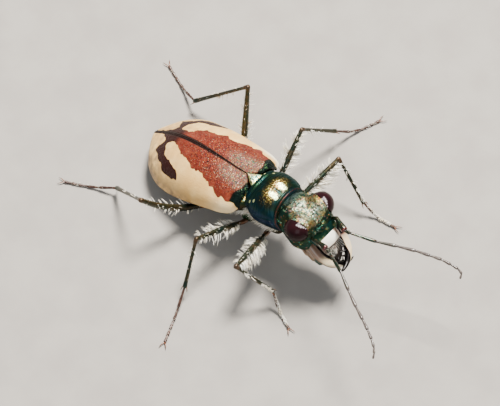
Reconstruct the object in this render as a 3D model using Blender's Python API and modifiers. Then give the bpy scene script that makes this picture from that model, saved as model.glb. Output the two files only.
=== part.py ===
# Tiger beetle, standing still, at life size.
# The finished model is in metres with +Z up. The beetle faces -Y and its left side is +X.
#
# Named sizes below are in millimetres. Two frames are used:
#   the body frame (x to the beetle's left, t forward, z up), whose zero is the tip of the
#   scutellum, where the two wing covers meet, and
#   the floor frame, in which the body is pitched nose up and the feet stand at height zero.

import math

import bmesh
import bpy
import numpy as np
from mathutils import Matrix, Vector

MM = 0.001
COLLECTION = "tiger_beetle"
SIDES = {"left": 1, "right": -1}

# Clear space between neighbouring parts, and the distance in metres below which points are one
GAP = 0.3
WELD = 1e-7

# Edges sharper than this angle aren't shaded smooth
SHARP_ANGLE = math.radians(50.0)

# How far, in radii, the round end of a tube reaches back, and how narrow its last ring is
END_ROUNDING = 0.45
SHORT_ROUNDING = 0.30
END_RING = 0.60
TUBE_ROUNDNESS = 2
SPIKE_SIDES = 5
SPIKE_POINT = 0.2

# Stance of the body over the floor
PITCH = math.radians(13.9)
BACK_HEIGHT = 5.22

# Head: place along the crown, half width, crown, throat, widest line and lean of each section,
# which grows forward so that the face slopes back to the mouth
HEAD_STATIONS = (
    (3.74, 1.34, -0.14, -2.40, -1.32, 0.00),
    (4.10, 1.50, 0.00, -2.60, -1.50, 0.04),
    (4.70, 1.62, 0.02, -2.80, -1.76, 0.12),
    (5.35, 1.68, -0.14, -2.96, -1.94, 0.26),
    (5.85, 1.62, -0.56, -3.00, -2.06, 0.42),
    (6.15, 1.44, -1.02, -2.96, -2.10, 0.54),
    (6.36, 1.18, -1.42, -2.84, -2.14, 0.62),
)
HEAD_RINGS = 13
HEAD_SIDES = 28
BODY_POWER = 2.25

# Eyes: centre of the base, bulge axis, length along the head, height and bulge
EYE_CENTRE = (1.10, 5.20, -0.80)
EYE_AXIS = (0.93, 0.06, 0.30)
EYE_HALF_LENGTH = 0.90
EYE_HALF_HEIGHT = 0.86
EYE_BULGE = 0.98
EYE_FACETS = (20, 12)
SOCKET_CLEAR = 0.36

# Labrum, the pale upper lip: its two ends on the body's middle plane, then its sections as
# share of the length, width and thickness, and its three blunt teeth
LABRUM_BACK = (6.65, -1.78)
LABRUM_FRONT = (7.06, -2.39)
LABRUM_HALF_WIDTH = 0.78
LABRUM_THICKNESS = 0.42
LABRUM_SECTIONS = ((0.0, 0.93, 0.80), (0.12, 1.0, 1.0), (0.5, 1.02, 1.0),
                   (0.86, 0.94, 1.0), (1.0, 0.82, 0.70))
LABRUM_SIDES = 16
LABRUM_POWER = 3.0
LABRUM_TOOTH = 0.20
LABRUM_TOOTH_RADIUS = 0.16
LABRUM_TOOTH_ROOT = 0.20
LABRUM_TOOTH_PLACES = (-0.5, 0.0, 0.5)

# Mandibles lie in a plane that leans down and forward from their hinges
MANDIBLE_ROOT = (6.16, -2.82)
MANDIBLE_SLOPE = math.radians(-43.0)
MANDIBLE_CURVE = {
    "left": ((1.22, -0.06), (1.32, 0.98), (0.74, 2.06), (-0.78, 2.10)),
    "right": ((1.00, -0.06), (1.08, 0.98), (0.66, 2.06), (-1.04, 2.14)),
}
MANDIBLE_HALF_WIDTHS = (0.30, 0.30, 0.28, 0.24, 0.16, 0.07)
MANDIBLE_HALF_THICKNESS = 0.25
MANDIBLE_CROSSING = 0.53
MANDIBLE_RINGS = 12
MANDIBLE_SIDES = 12
MANDIBLE_POWER = 2.4
MANDIBLE_TEETH = ((0.50, 0.46), (0.62, 0.42), (0.73, 0.34))
TOOTH_RADIUS = 0.14
TOOTH_LEAN = 0.10

# Palps: points of the left one, mirrored for the right
MAXILLARY_PALP = ((1.02, 4.92, -3.38), (1.04, 5.38, -3.64), (1.00, 5.88, -3.90), (0.90, 6.30, -4.08))
LABIAL_PALP = ((0.36, 5.02, -3.56), (0.36, 5.56, -3.94), (0.36, 6.08, -4.34))
PALP_RADIUS = 0.20

# Antennae: lengths of the eleven segments, and the course of each antenna
ANTENNA_SEGMENTS = (1.12, 0.32, 1.85, 1.33, 1.28, 0.96, 0.78, 0.68, 0.55, 0.40, 0.34)
ANTENNA_SOCKET = (1.10, 6.54, -1.16)
ANTENNA_COURSE = {
    "left": {"turn": (-10.0, 2.0, 21.0, 27.0, 25.0, 20.0, 21.0, 12.0, 10.0, -8.0, -70.0),
             "climb": (0.0, -6.0, -7.0, 0.0, 0.0, 0.0, -3.0, -5.0, -9.0, -20.0, -36.0)},
    "right": {"turn": (4.0, 20.0, 25.0, 29.0, 27.0, 25.0, 26.0, 29.0, 34.0, 46.0, 62.0),
              "climb": (14.0, 10.0, 11.0, -4.0, -3.0, 0.0, -2.0, -4.0, -8.0, -18.0, -30.0)},
}
ANTENNA_RADII = (0.27, 0.25, 0.13)
ANTENNA_THICK_SEGMENTS = 4
ANTENNA_WAIST = 0.90
ANTENNA_KNOT = 0.12

# Pronotum and the underside that belongs to it, with its two cross grooves
PRONOTUM_STATIONS = (
    (0.86, 1.46, 0.03, -2.20, -1.00),
    (1.06, 1.62, 0.12, -2.40, -1.05),
    (1.24, 1.70, 0.07, -2.50, -1.10),
    (1.55, 1.82, 0.22, -2.55, -1.15),
    (2.10, 1.86, 0.28, -2.56, -1.20),
    (2.60, 1.80, 0.20, -2.60, -1.24),
    (2.98, 1.68, 0.06, -2.62, -1.28),
    (3.14, 1.62, 0.06, -2.62, -1.30),
    (3.42, 1.48, -0.04, -2.54, -1.30),
)
PRONOTUM_RINGS = 15
BODY_SIDES = 32

# Scutellum, the small triangle between the wing covers
SCUTELLUM_LENGTH = 0.60
SCUTELLUM_HALF_WIDTH = 0.52
SCUTELLUM_TOP = 0.04
SCUTELLUM_THICKNESS = 0.50
SCUTELLUM_TIP = -0.05
SCUTELLUM_EDGE = 0.06

# Hind thorax, under the front half of the wing covers
THORAX_STATIONS = (
    (0.56, 1.20, -0.95, -2.40, -1.60),
    (0.20, 1.50, -0.92, -2.75, -1.80),
    (-0.70, 1.86, -0.76, -2.92, -2.00),
    (-1.70, 2.00, -0.66, -3.00, -2.10),
    (-2.66, 2.06, -0.64, -3.00, -2.12),
)
THORAX_RINGS = 9

# Abdomen, under the rear half of the wing covers
ABDOMEN_STATIONS = (
    (-2.96, 2.08, -0.66, -3.02, -2.15),
    (-4.20, 2.18, -0.68, -3.34, -2.35),
    (-5.40, 2.14, -0.86, -3.36, -2.50),
    (-6.50, 1.84, -1.18, -3.14, -2.45),
    (-7.25, 1.36, -1.56, -2.86, -2.32),
    (-7.75, 0.80, -1.88, -2.60, -2.24),
    (-7.95, 0.46, -2.00, -2.46, -2.22),
)
ABDOMEN_RINGS = 14

# Wing covers: place along the body, half width of the pair, crown and margin
ELYTRA_STATIONS = (
    (0.50, 1.90, 0.02, -1.16),
    (0.28, 2.38, 0.03, -1.30),
    (-0.30, 2.66, 0.04, -1.42),
    (-1.30, 2.82, 0.12, -1.60),
    (-2.60, 2.95, 0.20, -1.88),
    (-4.00, 3.05, 0.18, -2.18),
    (-5.20, 3.04, 0.05, -2.40),
    (-6.20, 2.94, -0.20, -2.38),
    (-7.10, 2.58, -0.56, -2.30),
    (-7.80, 2.08, -0.92, -2.16),
    (-8.40, 1.32, -1.26, -2.02),
    (-8.80, 0.66, -1.50, -1.92),
    (-8.96, 0.34, -1.60, -1.88),
)
ELYTRON_ROWS = 24
ELYTRON_COLUMNS = 12
ELYTRON_WALL = 0.55
ELYTRON_SUTURE = GAP / 2
ELYTRON_POWER = 2.1
SCUTELLUM_CLEAR = 0.90

# Legs: hip, root of the thigh in the body frame, then in the floor frame the knee, the end of
# the shin and the tip of the foot on each side, with the bow of the hind thighs
LEGS = {
    "front": {
        "coxa": (0.64, 2.34, -3.25), "coxa_size": (0.38, 0.52, 0.46),
        "root": (1.36, 2.08, -3.26), "femur_radius": (0.30, 0.38, 0.27),
        "left": {"knee": (5.49, -3.20, 3.69), "ankle": (5.16, -5.72, 1.11), "toe": (5.58, -8.63)},
        "right": {"knee": (-5.28, -3.48, 4.12), "ankle": (-4.02, -5.60, 1.49), "toe": (-5.06, -8.15)},
    },
    "middle": {
        "coxa": (0.78, 0.02, -3.50), "coxa_size": (0.42, 0.54, 0.42),
        "root": (1.52, 0.14, -3.50), "femur_radius": (0.30, 0.37, 0.27),
        "left": {"knee": (5.47, 0.02, 3.99), "ankle": (7.97, -0.89, 1.51), "toe": (11.60, -2.30)},
        "right": {"knee": (-5.38, -0.12, 3.96), "ankle": (-7.37, -0.82, 0.99), "toe": (-11.42, -2.40)},
    },
    "hind": {
        "coxa": (0.82, -2.30, -3.64), "coxa_size": (0.46, 0.58, 0.38),
        "root": (1.60, -2.86, -3.72), "femur_radius": (0.27, 0.28, 0.26),
        "left": {"knee": (5.27, 4.59, 4.77), "ankle": (3.72, 8.04, 1.09), "toe": (5.25, 12.02),
                 "bow": (0.34, 0.28, -0.76)},
        "right": {"knee": (-5.80, 4.32, 4.56), "ankle": (-4.64, 7.68, 0.70), "toe": (-6.57, 11.30),
                  "bow": (-0.40, 0.00, -0.26)},
    },
}
HIP_FACETS = (14, 8)

# Thigh: share of its length and thickness, from the waist of the trochanter to the knee
FEMUR_SHARES = (0.0, 0.09, 0.16, 0.3, 0.45, 0.6, 0.75, 0.9, 1.0)
FEMUR_KNOTS = (0.0, 0.09, 0.16, 0.35, 0.75, 1.0)
TROCHANTER_SWELL = 1.05
TROCHANTER_WAIST = 0.92

# Shin, with two spurs at its end
TIBIA_RADIUS = 0.25
TIBIA_SECTIONS = ((0.0, 0.265), (0.15, 0.25), (0.5, 0.25), (0.85, 0.26), (1.0, 0.29))
SPUR_LENGTH = 0.44
SPUR_RADIUS = 0.13
SPUR_SPREAD = math.radians(48.0)
SPUR_ROOT = 0.22
SPUR_OFFSET = 0.075

# Foot: shares of its five segments, sections of a segment, and the share that reaches the floor
TARSUS_RADIUS = 0.25
TARSUS_SEGMENTS = (0.34, 0.22, 0.17, 0.12, 0.15)
TARSUS_SECTIONS = ((0.12, 1.0), (0.82, 1.06), (1.0, 0.92))
TARSUS_LAST_SECTIONS = ((0.2, 1.0), (1.0, 0.92))
SOLE_HEIGHT = 0.74
FLOOR_SHARE = 0.46
CLAW_LENGTH = 0.50
CLAW_RADIUS = 0.12
CLAW_SPREAD = math.radians(34.0)
CLAW_ROOT = 0.15
CLAW_OFFSET = 0.08
CLAW_TIP_HEIGHT = 0.06

# Finishes: colour, roughness, metallic
FINISHES = {
    "green_shell": ((0.02, 0.16, 0.13), 0.32, 0.85),
    "copper_shell": ((0.12, 0.15, 0.06), 0.36, 0.80),
    "ivory_shell": ((0.80, 0.73, 0.56), 0.40, 0.0),
    "wing_cover": ((0.42, 0.12, 0.07), 0.45, 0.20),
    "eye_gloss": ((0.05, 0.02, 0.03), 0.12, 0.0),
    "feeler_brown": ((0.10, 0.07, 0.08), 0.50, 0.10),
    "foot_brown": ((0.10, 0.05, 0.04), 0.45, 0.10),
    "leg_green": ((0.06, 0.10, 0.05), 0.35, 0.70),
}


# Scene and object helpers

def clear_scene():
    """Take every object out of the scene."""
    for item in list(bpy.data.objects):
        bpy.data.objects.remove(item, do_unlink=True)


def finish_of(name, finish):
    """Give each part a material of its own with one of the finishes."""
    colour, roughness, metallic = FINISHES[finish]
    material = bpy.data.materials.new(name + "_" + finish)
    material.use_nodes = True
    shader = material.node_tree.nodes["Principled BSDF"]
    shader.inputs["Base Color"].default_value = (*colour, 1.0)
    shader.inputs["Roughness"].default_value = roughness
    shader.inputs["Metallic"].default_value = metallic
    return material


def add_part(name, mesh, finish):
    """Put a mesh into the beetle's collection as one named part, shaded smooth."""
    mesh.materials.clear()
    mesh.materials.append(finish_of(name, finish))
    mesh.shade_smooth()
    mesh.set_sharp_from_angle(angle=SHARP_ANGLE)
    part = bpy.data.objects.new(name, mesh)
    bpy.data.collections[COLLECTION].objects.link(part)
    return part


def closed_mesh(name, points, faces):
    """Mesh from points in millimetres, welded, with its faces turned outwards."""
    shape = bmesh.new()
    corners = [shape.verts.new(point) for point in np.asarray(points, float) * MM]
    for face in faces:
        shape.faces.new([corners[index] for index in face])
    return welded_mesh(name, shape)


def welded_mesh(name, shape):
    """Finish a bmesh: weld it, turn its faces outwards and store it as a mesh."""
    bmesh.ops.remove_doubles(shape, verts=shape.verts, dist=WELD)
    bmesh.ops.recalc_face_normals(shape, faces=shape.faces)
    mesh = bpy.data.meshes.new(name)
    shape.to_mesh(mesh)
    shape.free()
    return mesh


def largest_surface(mesh):
    """Keep only the largest closed surface of a mesh."""
    shape = bmesh.new()
    shape.from_mesh(mesh)
    bmesh.ops.remove_doubles(shape, verts=shape.verts, dist=WELD)
    left = set(shape.faces)
    groups = []
    while left:
        stack = [left.pop()]
        group = []
        while stack:
            face = stack.pop()
            group.append(face)
            for edge in face.edges:
                for other in edge.link_faces:
                    if other in left:
                        left.remove(other)
                        stack.append(other)
        groups.append(group)
    groups.sort(key=lambda group: sum(face.calc_area() for face in group))
    for group in groups[:-1]:
        bmesh.ops.delete(shape, geom=group, context="FACES")
    shape.to_mesh(mesh)
    shape.free()


def combine(part, meshes, operation):
    """Join meshes to a part, or cut them from it, with one Boolean on a collection."""
    tools = bpy.data.collections.new(part.name + "_tools")
    bpy.context.scene.collection.children.link(tools)
    for mesh in meshes:
        tool = bpy.data.objects.new(mesh.name, mesh)
        tool.hide_render = True
        tool.display_type = "WIRE"
        tools.objects.link(tool)
    boolean = part.modifiers.new("combine", "BOOLEAN")
    boolean.operation = operation
    boolean.operand_type = "COLLECTION"
    boolean.collection = tools
    boolean.solver = "EXACT"
    graph = bpy.context.evaluated_depsgraph_get()
    result = bpy.data.meshes.new_from_object(part.evaluated_get(graph))
    part.modifiers.clear()
    part.data = result
    for tool in list(tools.objects):
        bpy.data.objects.remove(tool, do_unlink=True)
    bpy.data.collections.remove(tools)
    largest_surface(result)


# Shape helpers

def stand(points):
    """Body frame to floor frame: pitch the body nose up and lift it over the floor."""
    x, t, z = np.moveaxis(np.asarray(points, float), -1, 0)
    back = -t * math.cos(PITCH) + z * math.sin(PITCH)
    height = BACK_HEIGHT + t * math.sin(PITCH) + z * math.cos(PITCH)
    return np.stack([x, back, height], -1)


def smooth_rows(stations, count):
    """Rows between stations on a curve with steady slopes, closer near both ends."""
    table = np.asarray(stations, float)
    chord = np.linalg.norm(np.diff(table, axis=0), axis=1)
    place = np.concatenate([[0.0], np.cumsum(chord)])
    slope = np.gradient(table, place, axis=0)
    ends = np.linspace(0.0, math.pi, count)
    where = place[-1] * (0.5 * (1 - np.cos(ends)) * 0.5 + 0.5 * ends / math.pi)
    index = np.clip(np.searchsorted(place, where, side="right") - 1, 0, len(place) - 2)
    step = place[index + 1] - place[index]
    s = ((where - place[index]) / step)[:, None]
    step = step[:, None]
    start = table[index] * (2 * s ** 3 - 3 * s ** 2 + 1) + slope[index] * step * (s ** 3 - 2 * s ** 2 + s)
    stop = table[index + 1] * (3 * s ** 2 - 2 * s ** 3) + slope[index + 1] * step * (s ** 3 - s ** 2)
    return start + stop


def ring(half_width, top, bottom, belt, sides, power=BODY_POWER):
    """Section of the body: a superellipse with its own height above and below the belt."""
    angle = 2 * math.pi * np.arange(sides) / sides
    across = np.cos(angle)
    upright = np.sin(angle)
    x = half_width * np.sign(across) * np.abs(across) ** (2 / power)
    reach = np.where(upright >= 0, top - belt, belt - bottom)
    z = belt + reach * np.sign(upright) * np.abs(upright) ** (2 / power)
    return x, z


def body_loft(name, stations, rings, sides, finish):
    """A closed part of the trunk lofted through sections along the body, which may lean."""
    points = []
    for t, half_width, top, bottom, belt, *lean in smooth_rows(stations, rings):
        x, z = ring(half_width, top, bottom, belt, sides)
        points.append(np.stack([x, t + sum(lean) * (z - top), z], -1))
    return loft(name, stand(np.concatenate(points)), rings, sides, finish)


def loft(name, points, rings, sides, finish):
    """Closed skin over rings of equal size, with a flat cap at each end."""
    faces = [tuple(range(sides)), tuple(range((rings - 1) * sides, rings * sides))]
    for row in range(rings - 1):
        for column in range(sides):
            after = (column + 1) % sides
            faces.append((row * sides + column, row * sides + after,
                          (row + 1) * sides + after, (row + 1) * sides + column))
    return add_part(name, closed_mesh(name, points, faces), finish)


def tube_mesh(name, points, radii):
    """Round tube along a path, made as a curve with filled caps and turned into a mesh."""
    curve = bpy.data.curves.new(name, "CURVE")
    curve.dimensions = "3D"
    curve.bevel_depth = MM
    curve.bevel_resolution = TUBE_ROUNDNESS
    curve.use_fill_caps = True
    spline = curve.splines.new("POLY")
    spline.points.add(len(points) - 1)
    for knot, point, radius in zip(spline.points, points, radii):
        knot.co = (*(Vector(point) * MM), 1.0)
        knot.radius = radius
    tube = bpy.data.objects.new(name, curve)
    bpy.context.scene.collection.objects.link(tube)
    graph = bpy.context.evaluated_depsgraph_get()
    mesh = bpy.data.meshes.new_from_object(tube.evaluated_get(graph))
    bpy.data.objects.remove(tube, do_unlink=True)
    shape = bmesh.new()
    shape.from_mesh(mesh)
    return welded_mesh(name, shape)


def spike_mesh(name, root, tip, radius):
    """A slender cone from its root to its tip, closed at both ends."""
    root = Vector(root)
    tip = Vector(tip)
    length = (tip - root).length
    turn = (tip - root).to_track_quat("Z", "Y").to_matrix().to_4x4()
    shape = bmesh.new()
    place = Matrix.Translation((root + tip) / 2) @ turn
    bmesh.ops.create_cone(shape, cap_ends=True, segments=SPIKE_SIDES, radius1=radius,
                          radius2=radius * SPIKE_POINT, depth=length,
                          matrix=Matrix.Scale(MM, 4) @ place)
    return welded_mesh(name, shape)


def rounded_ends(points, radii, share=END_ROUNDING):
    """Add a narrower ring just outside each end of a tube, so that its ends look rounded."""
    points = [Vector(point) for point in points]
    first = (points[0] - points[1]).normalized() * radii[0] * share
    last = (points[-1] - points[-2]).normalized() * radii[-1] * share
    inner = [points[0] - first] + points[1:-1] + [points[-1] - last]
    return ([points[0]] + inner + [points[-1]],
            [radii[0] * END_RING] + list(radii) + [radii[-1] * END_RING])


def mirrored(points, side):
    """Points of the left side, or the same points on the right side."""
    return np.asarray(points, float) * (SIDES[side], 1.0, 1.0)


# Head parts

def eye_mesh(name, side, grow):
    """Domed eye on a flat base, or with grow the larger form that clears a socket for it."""
    axis = Vector(mirrored(EYE_AXIS, side)).normalized()
    along = Vector((0.0, 1.0, 0.0))
    along = (along - axis * along.dot(axis)).normalized()
    upward = axis.cross(along)
    frame = Matrix((axis, along, upward)).transposed().to_4x4()
    centre = Vector(mirrored(EYE_CENTRE, side)) - axis * grow
    size = Matrix.Diagonal((EYE_BULGE + 2 * grow, EYE_HALF_LENGTH + grow, EYE_HALF_HEIGHT + grow, 1.0))
    shape = bmesh.new()
    pole_on_axis = Matrix.Rotation(math.pi / 2, 4, "Y")
    bmesh.ops.create_uvsphere(shape, u_segments=EYE_FACETS[0], v_segments=EYE_FACETS[1], radius=1.0,
                              matrix=size @ pole_on_axis)
    cut = bmesh.ops.bisect_plane(shape, geom=shape.verts[:] + shape.edges[:] + shape.faces[:],
                                 plane_co=(0, 0, 0), plane_no=(1, 0, 0), clear_inner=True)
    rim = [item for item in cut["geom_cut"] if isinstance(item, bmesh.types.BMEdge)]
    bmesh.ops.contextual_create(shape, geom=rim)
    shape.transform(Matrix.Translation(centre) @ frame)
    for corner in shape.verts:
        corner.co = Vector(stand(corner.co)) * MM
    return welded_mesh(name, shape)


def build_head():
    """Head capsule with a socket cleared for each eye, and the two eyes."""
    head = body_loft("head", HEAD_STATIONS, HEAD_RINGS, HEAD_SIDES, "green_shell")
    combine(head, [eye_mesh("socket_" + side, side, SOCKET_CLEAR) for side in SIDES], "DIFFERENCE")
    for side in SIDES:
        add_part("eye_" + side, eye_mesh("eye_" + side, side, 0.0), "eye_gloss")


def build_labrum():
    """Upper lip: a rounded plate that leans down and forward, with three blunt teeth."""
    back = Vector((0.0, *LABRUM_BACK))
    front = Vector((0.0, *LABRUM_FRONT))
    along = (front - back).normalized()
    down = Vector((0.0, along.z, -along.y))
    points = []
    for share, width, thickness in LABRUM_SECTIONS:
        centre = back.lerp(front, share) + down * LABRUM_THICKNESS / 2
        half = LABRUM_THICKNESS / 2 * thickness
        x, z = ring(LABRUM_HALF_WIDTH * width, half, -half, 0.0, LABRUM_SIDES, LABRUM_POWER)
        points += [centre + Vector((a, 0, 0)) - down * b for a, b in zip(x, z)]
    labrum = loft("labrum", stand(points), len(LABRUM_SECTIONS), LABRUM_SIDES, "ivory_shell")
    middle = front + down * LABRUM_THICKNESS / 2
    teeth = []
    for number, place in enumerate(LABRUM_TOOTH_PLACES):
        root = middle + Vector((place * LABRUM_HALF_WIDTH, 0, 0)) - along * LABRUM_TOOTH_ROOT
        tip = root + along * (LABRUM_TOOTH_ROOT + LABRUM_TOOTH)
        tooth = spike_mesh("labrum_tooth_" + str(number), stand(root), stand(tip), LABRUM_TOOTH_RADIUS)
        teeth.append(tooth)
    combine(labrum, teeth, "UNION")


def bezier(knots, share):
    """Point on a cubic curve through four control points."""
    a, b, c, d = (np.asarray(knot, float) for knot in knots)
    rest = 1 - share
    return a * rest ** 3 + 3 * b * rest ** 2 * share + 3 * c * rest * share ** 2 + d * share ** 3


def build_mandible(side):
    """Sickle jaw in its slanted plane, with teeth inside; the left one crosses on top."""
    name = "mandible_" + side
    hinge = Vector((0.0, *MANDIBLE_ROOT))
    along = Vector((0.0, math.cos(MANDIBLE_SLOPE), math.sin(MANDIBLE_SLOPE)))
    normal = Vector((0.0, -along.z, along.y))
    across = Vector((SIDES[side], 0.0, 0.0))

    def in_plane(share):
        x, s = bezier(MANDIBLE_CURVE[side], share)
        lift = SIDES[side] * MANDIBLE_CROSSING * share ** 2
        return hinge + across * x + along * s + normal * lift

    def tangent(share):
        return (in_plane(min(share + 0.02, 1.0)) - in_plane(max(share - 0.02, 0.0))).normalized()

    points = []
    knots = np.linspace(0.0, 1.0, len(MANDIBLE_HALF_WIDTHS))
    for share in np.linspace(0.0, 1.0, MANDIBLE_RINGS):
        half_width = np.interp(share, knots, MANDIBLE_HALF_WIDTHS)
        thickness = min(MANDIBLE_HALF_THICKNESS, half_width * 1.15)
        sideways = tangent(share).cross(normal).normalized()
        a, b = ring(half_width, thickness, -thickness, 0.0, MANDIBLE_SIDES, MANDIBLE_POWER)
        points += [in_plane(share) + sideways * u + normal * v for u, v in zip(a, b)]
    jaw = loft(name, stand(points), MANDIBLE_RINGS, MANDIBLE_SIDES, "ivory_shell")
    teeth = []
    for number, (share, reach) in enumerate(MANDIBLE_TEETH):
        inward = tangent(share).cross(normal).normalized() * -SIDES[side]
        root = in_plane(share)
        tip = root + inward * reach + tangent(share) * TOOTH_LEAN
        tooth = spike_mesh(name + "_tooth_" + str(number), stand(root), stand(tip), TOOTH_RADIUS)
        teeth.append(tooth)
    combine(jaw, teeth, "UNION")


def build_palp(name, points, finish):
    """Jointed palp as a short bent tube."""
    path, radii = rounded_ends(stand(points), [PALP_RADIUS] * len(points))
    add_part(name, tube_mesh(name, path, radii), finish)


def antenna_path(side):
    """Ends of the eleven segments, from the socket to the tip, in the floor frame."""
    course = ANTENNA_COURSE[side]
    point = Vector(stand(mirrored(ANTENNA_SOCKET, side)))
    path = [point.copy()]
    for length, turn, climb in zip(ANTENNA_SEGMENTS, course["turn"], course["climb"]):
        outward = math.radians(turn)
        rise = math.radians(climb)
        point = point + length * Vector((SIDES[side] * math.sin(outward) * math.cos(rise),
                                         -math.cos(outward) * math.cos(rise), math.sin(rise)))
        path.append(point.copy())
    return path


def build_antenna(side):
    """Eleven segments in one piece, a little narrower at each joint, tapering to the tip."""
    joints = antenna_path(side)
    base, middle, tip = ANTENNA_RADII
    knots = (0, ANTENNA_THICK_SEGMENTS, len(joints) - 1)
    thickness = np.interp(np.arange(len(joints)), knots, (base, middle, tip))
    path = [joints[0]]
    radii = [thickness[0]]
    for number in range(1, len(joints)):
        start, stop = joints[number - 1], joints[number]
        length = (stop - start).length
        swell = stop - (stop - start) * min(ANTENNA_KNOT / length, 0.4)
        path += [swell, stop]
        radii += [thickness[number], thickness[number] * ANTENNA_WAIST]
    path, radii = rounded_ends(path, radii)
    name = "antenna_" + side
    add_part(name, tube_mesh(name, path, radii), "feeler_brown")


# Trunk parts

def build_scutellum():
    """Small triangle, set in the notch between the wing covers."""
    low = SCUTELLUM_TOP - SCUTELLUM_THICKNESS
    wide = SCUTELLUM_HALF_WIDTH
    outline = ((0.0, 0.0), (wide, SCUTELLUM_LENGTH * 0.8), (wide * 0.8, SCUTELLUM_LENGTH),
               (-wide * 0.8, SCUTELLUM_LENGTH), (-wide, SCUTELLUM_LENGTH * 0.8))
    top = [(x, t + SCUTELLUM_TIP, SCUTELLUM_TOP) for x, t in outline]
    bottom = [(x, t + SCUTELLUM_TIP, low) for x, t in outline]
    count = len(outline)
    faces = [tuple(range(count)), tuple(range(count, 2 * count))]
    faces += [(n, (n + 1) % count, count + (n + 1) % count, count + n) for n in range(count)]
    mesh = closed_mesh("scutellum", stand(top + bottom), faces)
    scutellum = add_part("scutellum", mesh, "copper_shell")
    bevel = scutellum.modifiers.new("soft_edges", "BEVEL")
    bevel.width = SCUTELLUM_EDGE * MM
    bevel.segments = 2


def elytron_surface(side, wall):
    """Grid of points over one wing cover; with a wall it is the inner face, scaled inwards."""
    rows = smooth_rows(ELYTRA_STATIONS, ELYTRON_ROWS)
    t_base, t_apex = ELYTRA_STATIONS[0][0], ELYTRA_STATIONS[-1][0]
    widest = max(station[1] for station in ELYTRA_STATIONS)
    tallest = max(station[2] - station[3] for station in ELYTRA_STATIONS)
    shrink_x = (widest - wall) / widest
    shrink_z = (tallest - wall) / tallest
    shrink_t = (t_base - t_apex - wall) / (t_base - t_apex)
    angle = np.linspace(0.0, math.pi / 2, ELYTRON_COLUMNS)
    across = np.sin(angle) ** (2 / ELYTRON_POWER)
    upright = np.cos(angle) ** (2 / ELYTRON_POWER)
    t, half_width, crown, margin = (column[:, None] for column in rows.T)
    x = ELYTRON_SUTURE + (half_width * shrink_x - ELYTRON_SUTURE) * across
    z = margin + (crown - margin) * shrink_z * upright
    along = t_base + (t - t_base) * shrink_t
    notch = SCUTELLUM_CLEAR * np.clip(1 - (x - ELYTRON_SUTURE) / SCUTELLUM_CLEAR, 0, 1)
    along = along - notch * (along - t_apex) / (t_base - t_apex)
    return mirrored(np.stack([x, along + 0 * x, z], -1), side)


def build_elytron(side):
    """Wing cover: a domed shell from the shoulder to the apex, open below."""
    name = "elytron_" + side
    outer = elytron_surface(side, 0.0)
    inner = elytron_surface(side, ELYTRON_WALL)
    rows, columns = outer.shape[:2]
    points = np.concatenate([outer.reshape(-1, 3), inner.reshape(-1, 3)])
    inside = rows * columns
    faces = []
    for row in range(rows - 1):
        for column in range(columns - 1):
            corner = row * columns + column
            quad = (corner, corner + 1, corner + columns + 1, corner + columns)
            faces.append(quad)
            faces.append(tuple(inside + index for index in reversed(quad)))
    first_row = list(range(columns))
    last_row = list(range((rows - 1) * columns, rows * columns))
    suture = list(range(0, rows * columns, columns))
    margin = list(range(columns - 1, rows * columns, columns))
    for edge in (first_row, last_row, suture, margin):
        for start, stop in zip(edge[:-1], edge[1:]):
            faces.append((start, stop, inside + stop, inside + start))
    add_part(name, closed_mesh(name, stand(points), faces), "wing_cover")


# Legs

def leg_direction(start, stop):
    """Unit vector from one joint to the next."""
    return (Vector(stop) - Vector(start)).normalized()


def build_coxa(pair, side):
    """Rounded hip, set in the underside."""
    leg = LEGS[pair]
    name = pair + "_coxa_" + side
    shape = bmesh.new()
    size = Matrix.Diagonal((*leg["coxa_size"], 1.0))
    place = Matrix.Translation(Vector(mirrored(leg["coxa"], side)))
    bmesh.ops.create_uvsphere(shape, u_segments=HIP_FACETS[0], v_segments=HIP_FACETS[1], radius=1.0,
                              matrix=place @ size)
    for corner in shape.verts:
        corner.co = Vector(stand(corner.co)) * MM
    add_part(name, welded_mesh(name, shape), "copper_shell")


def build_femur(pair, side):
    """Thigh with its small trochanter at the root; the hind one bows clear of the wing cover."""
    leg = LEGS[pair]
    name = pair + "_femur_" + side
    root = Vector(stand(mirrored(leg["root"], side)))
    knee = Vector(leg[side]["knee"])
    bow = Vector(leg[side].get("bow", (0.0, 0.0, 0.0)))
    thin, thick, end = leg["femur_radius"]
    thickness = (thin, thin * TROCHANTER_SWELL, thin * TROCHANTER_WAIST, thick, (thick + end) / 2, end)
    path = []
    radii = []
    for share in FEMUR_SHARES:
        path.append(root.lerp(knee, share) + bow * math.sin(math.pi * share))
        radii.append(np.interp(share, FEMUR_KNOTS, thickness))
    path, radii = rounded_ends(path, radii)
    add_part(name, tube_mesh(name, path, radii), "leg_green")


def build_tibia(pair, side):
    """Shin from just below the knee to the ankle, with two spurs at its end."""
    leg = LEGS[pair]
    name = pair + "_tibia_" + side
    knee, ankle = Vector(leg[side]["knee"]), Vector(leg[side]["ankle"])
    down = leg_direction(knee, ankle)
    bend = down.angle(Vector(stand(mirrored(leg["root"], side))) - knee)
    clear = leg["femur_radius"][2] + GAP + TIBIA_RADIUS * max(math.cos(bend), 0.0)
    start = knee + down * clear / math.sin(bend)
    path = [start.lerp(ankle, share) for share, radius in TIBIA_SECTIONS]
    path, radii = rounded_ends(path, [radius for share, radius in TIBIA_SECTIONS], SHORT_ROUNDING)
    tibia = add_part(name, tube_mesh(name, path, radii), "leg_green")
    sideways = down.cross(Vector((0, 0, 1))).normalized()
    spurs = []
    for number, turn in enumerate((-1, 1)):
        lean = down * math.cos(SPUR_SPREAD) + sideways * turn * math.sin(SPUR_SPREAD)
        root = ankle - down * SPUR_ROOT + sideways * turn * SPUR_OFFSET
        tip = root + lean * (SPUR_LENGTH + TIBIA_RADIUS)
        spurs.append(spike_mesh(name + "_spur_" + str(number), root, tip, SPUR_RADIUS))
    combine(tibia, spurs, "UNION")


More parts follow.
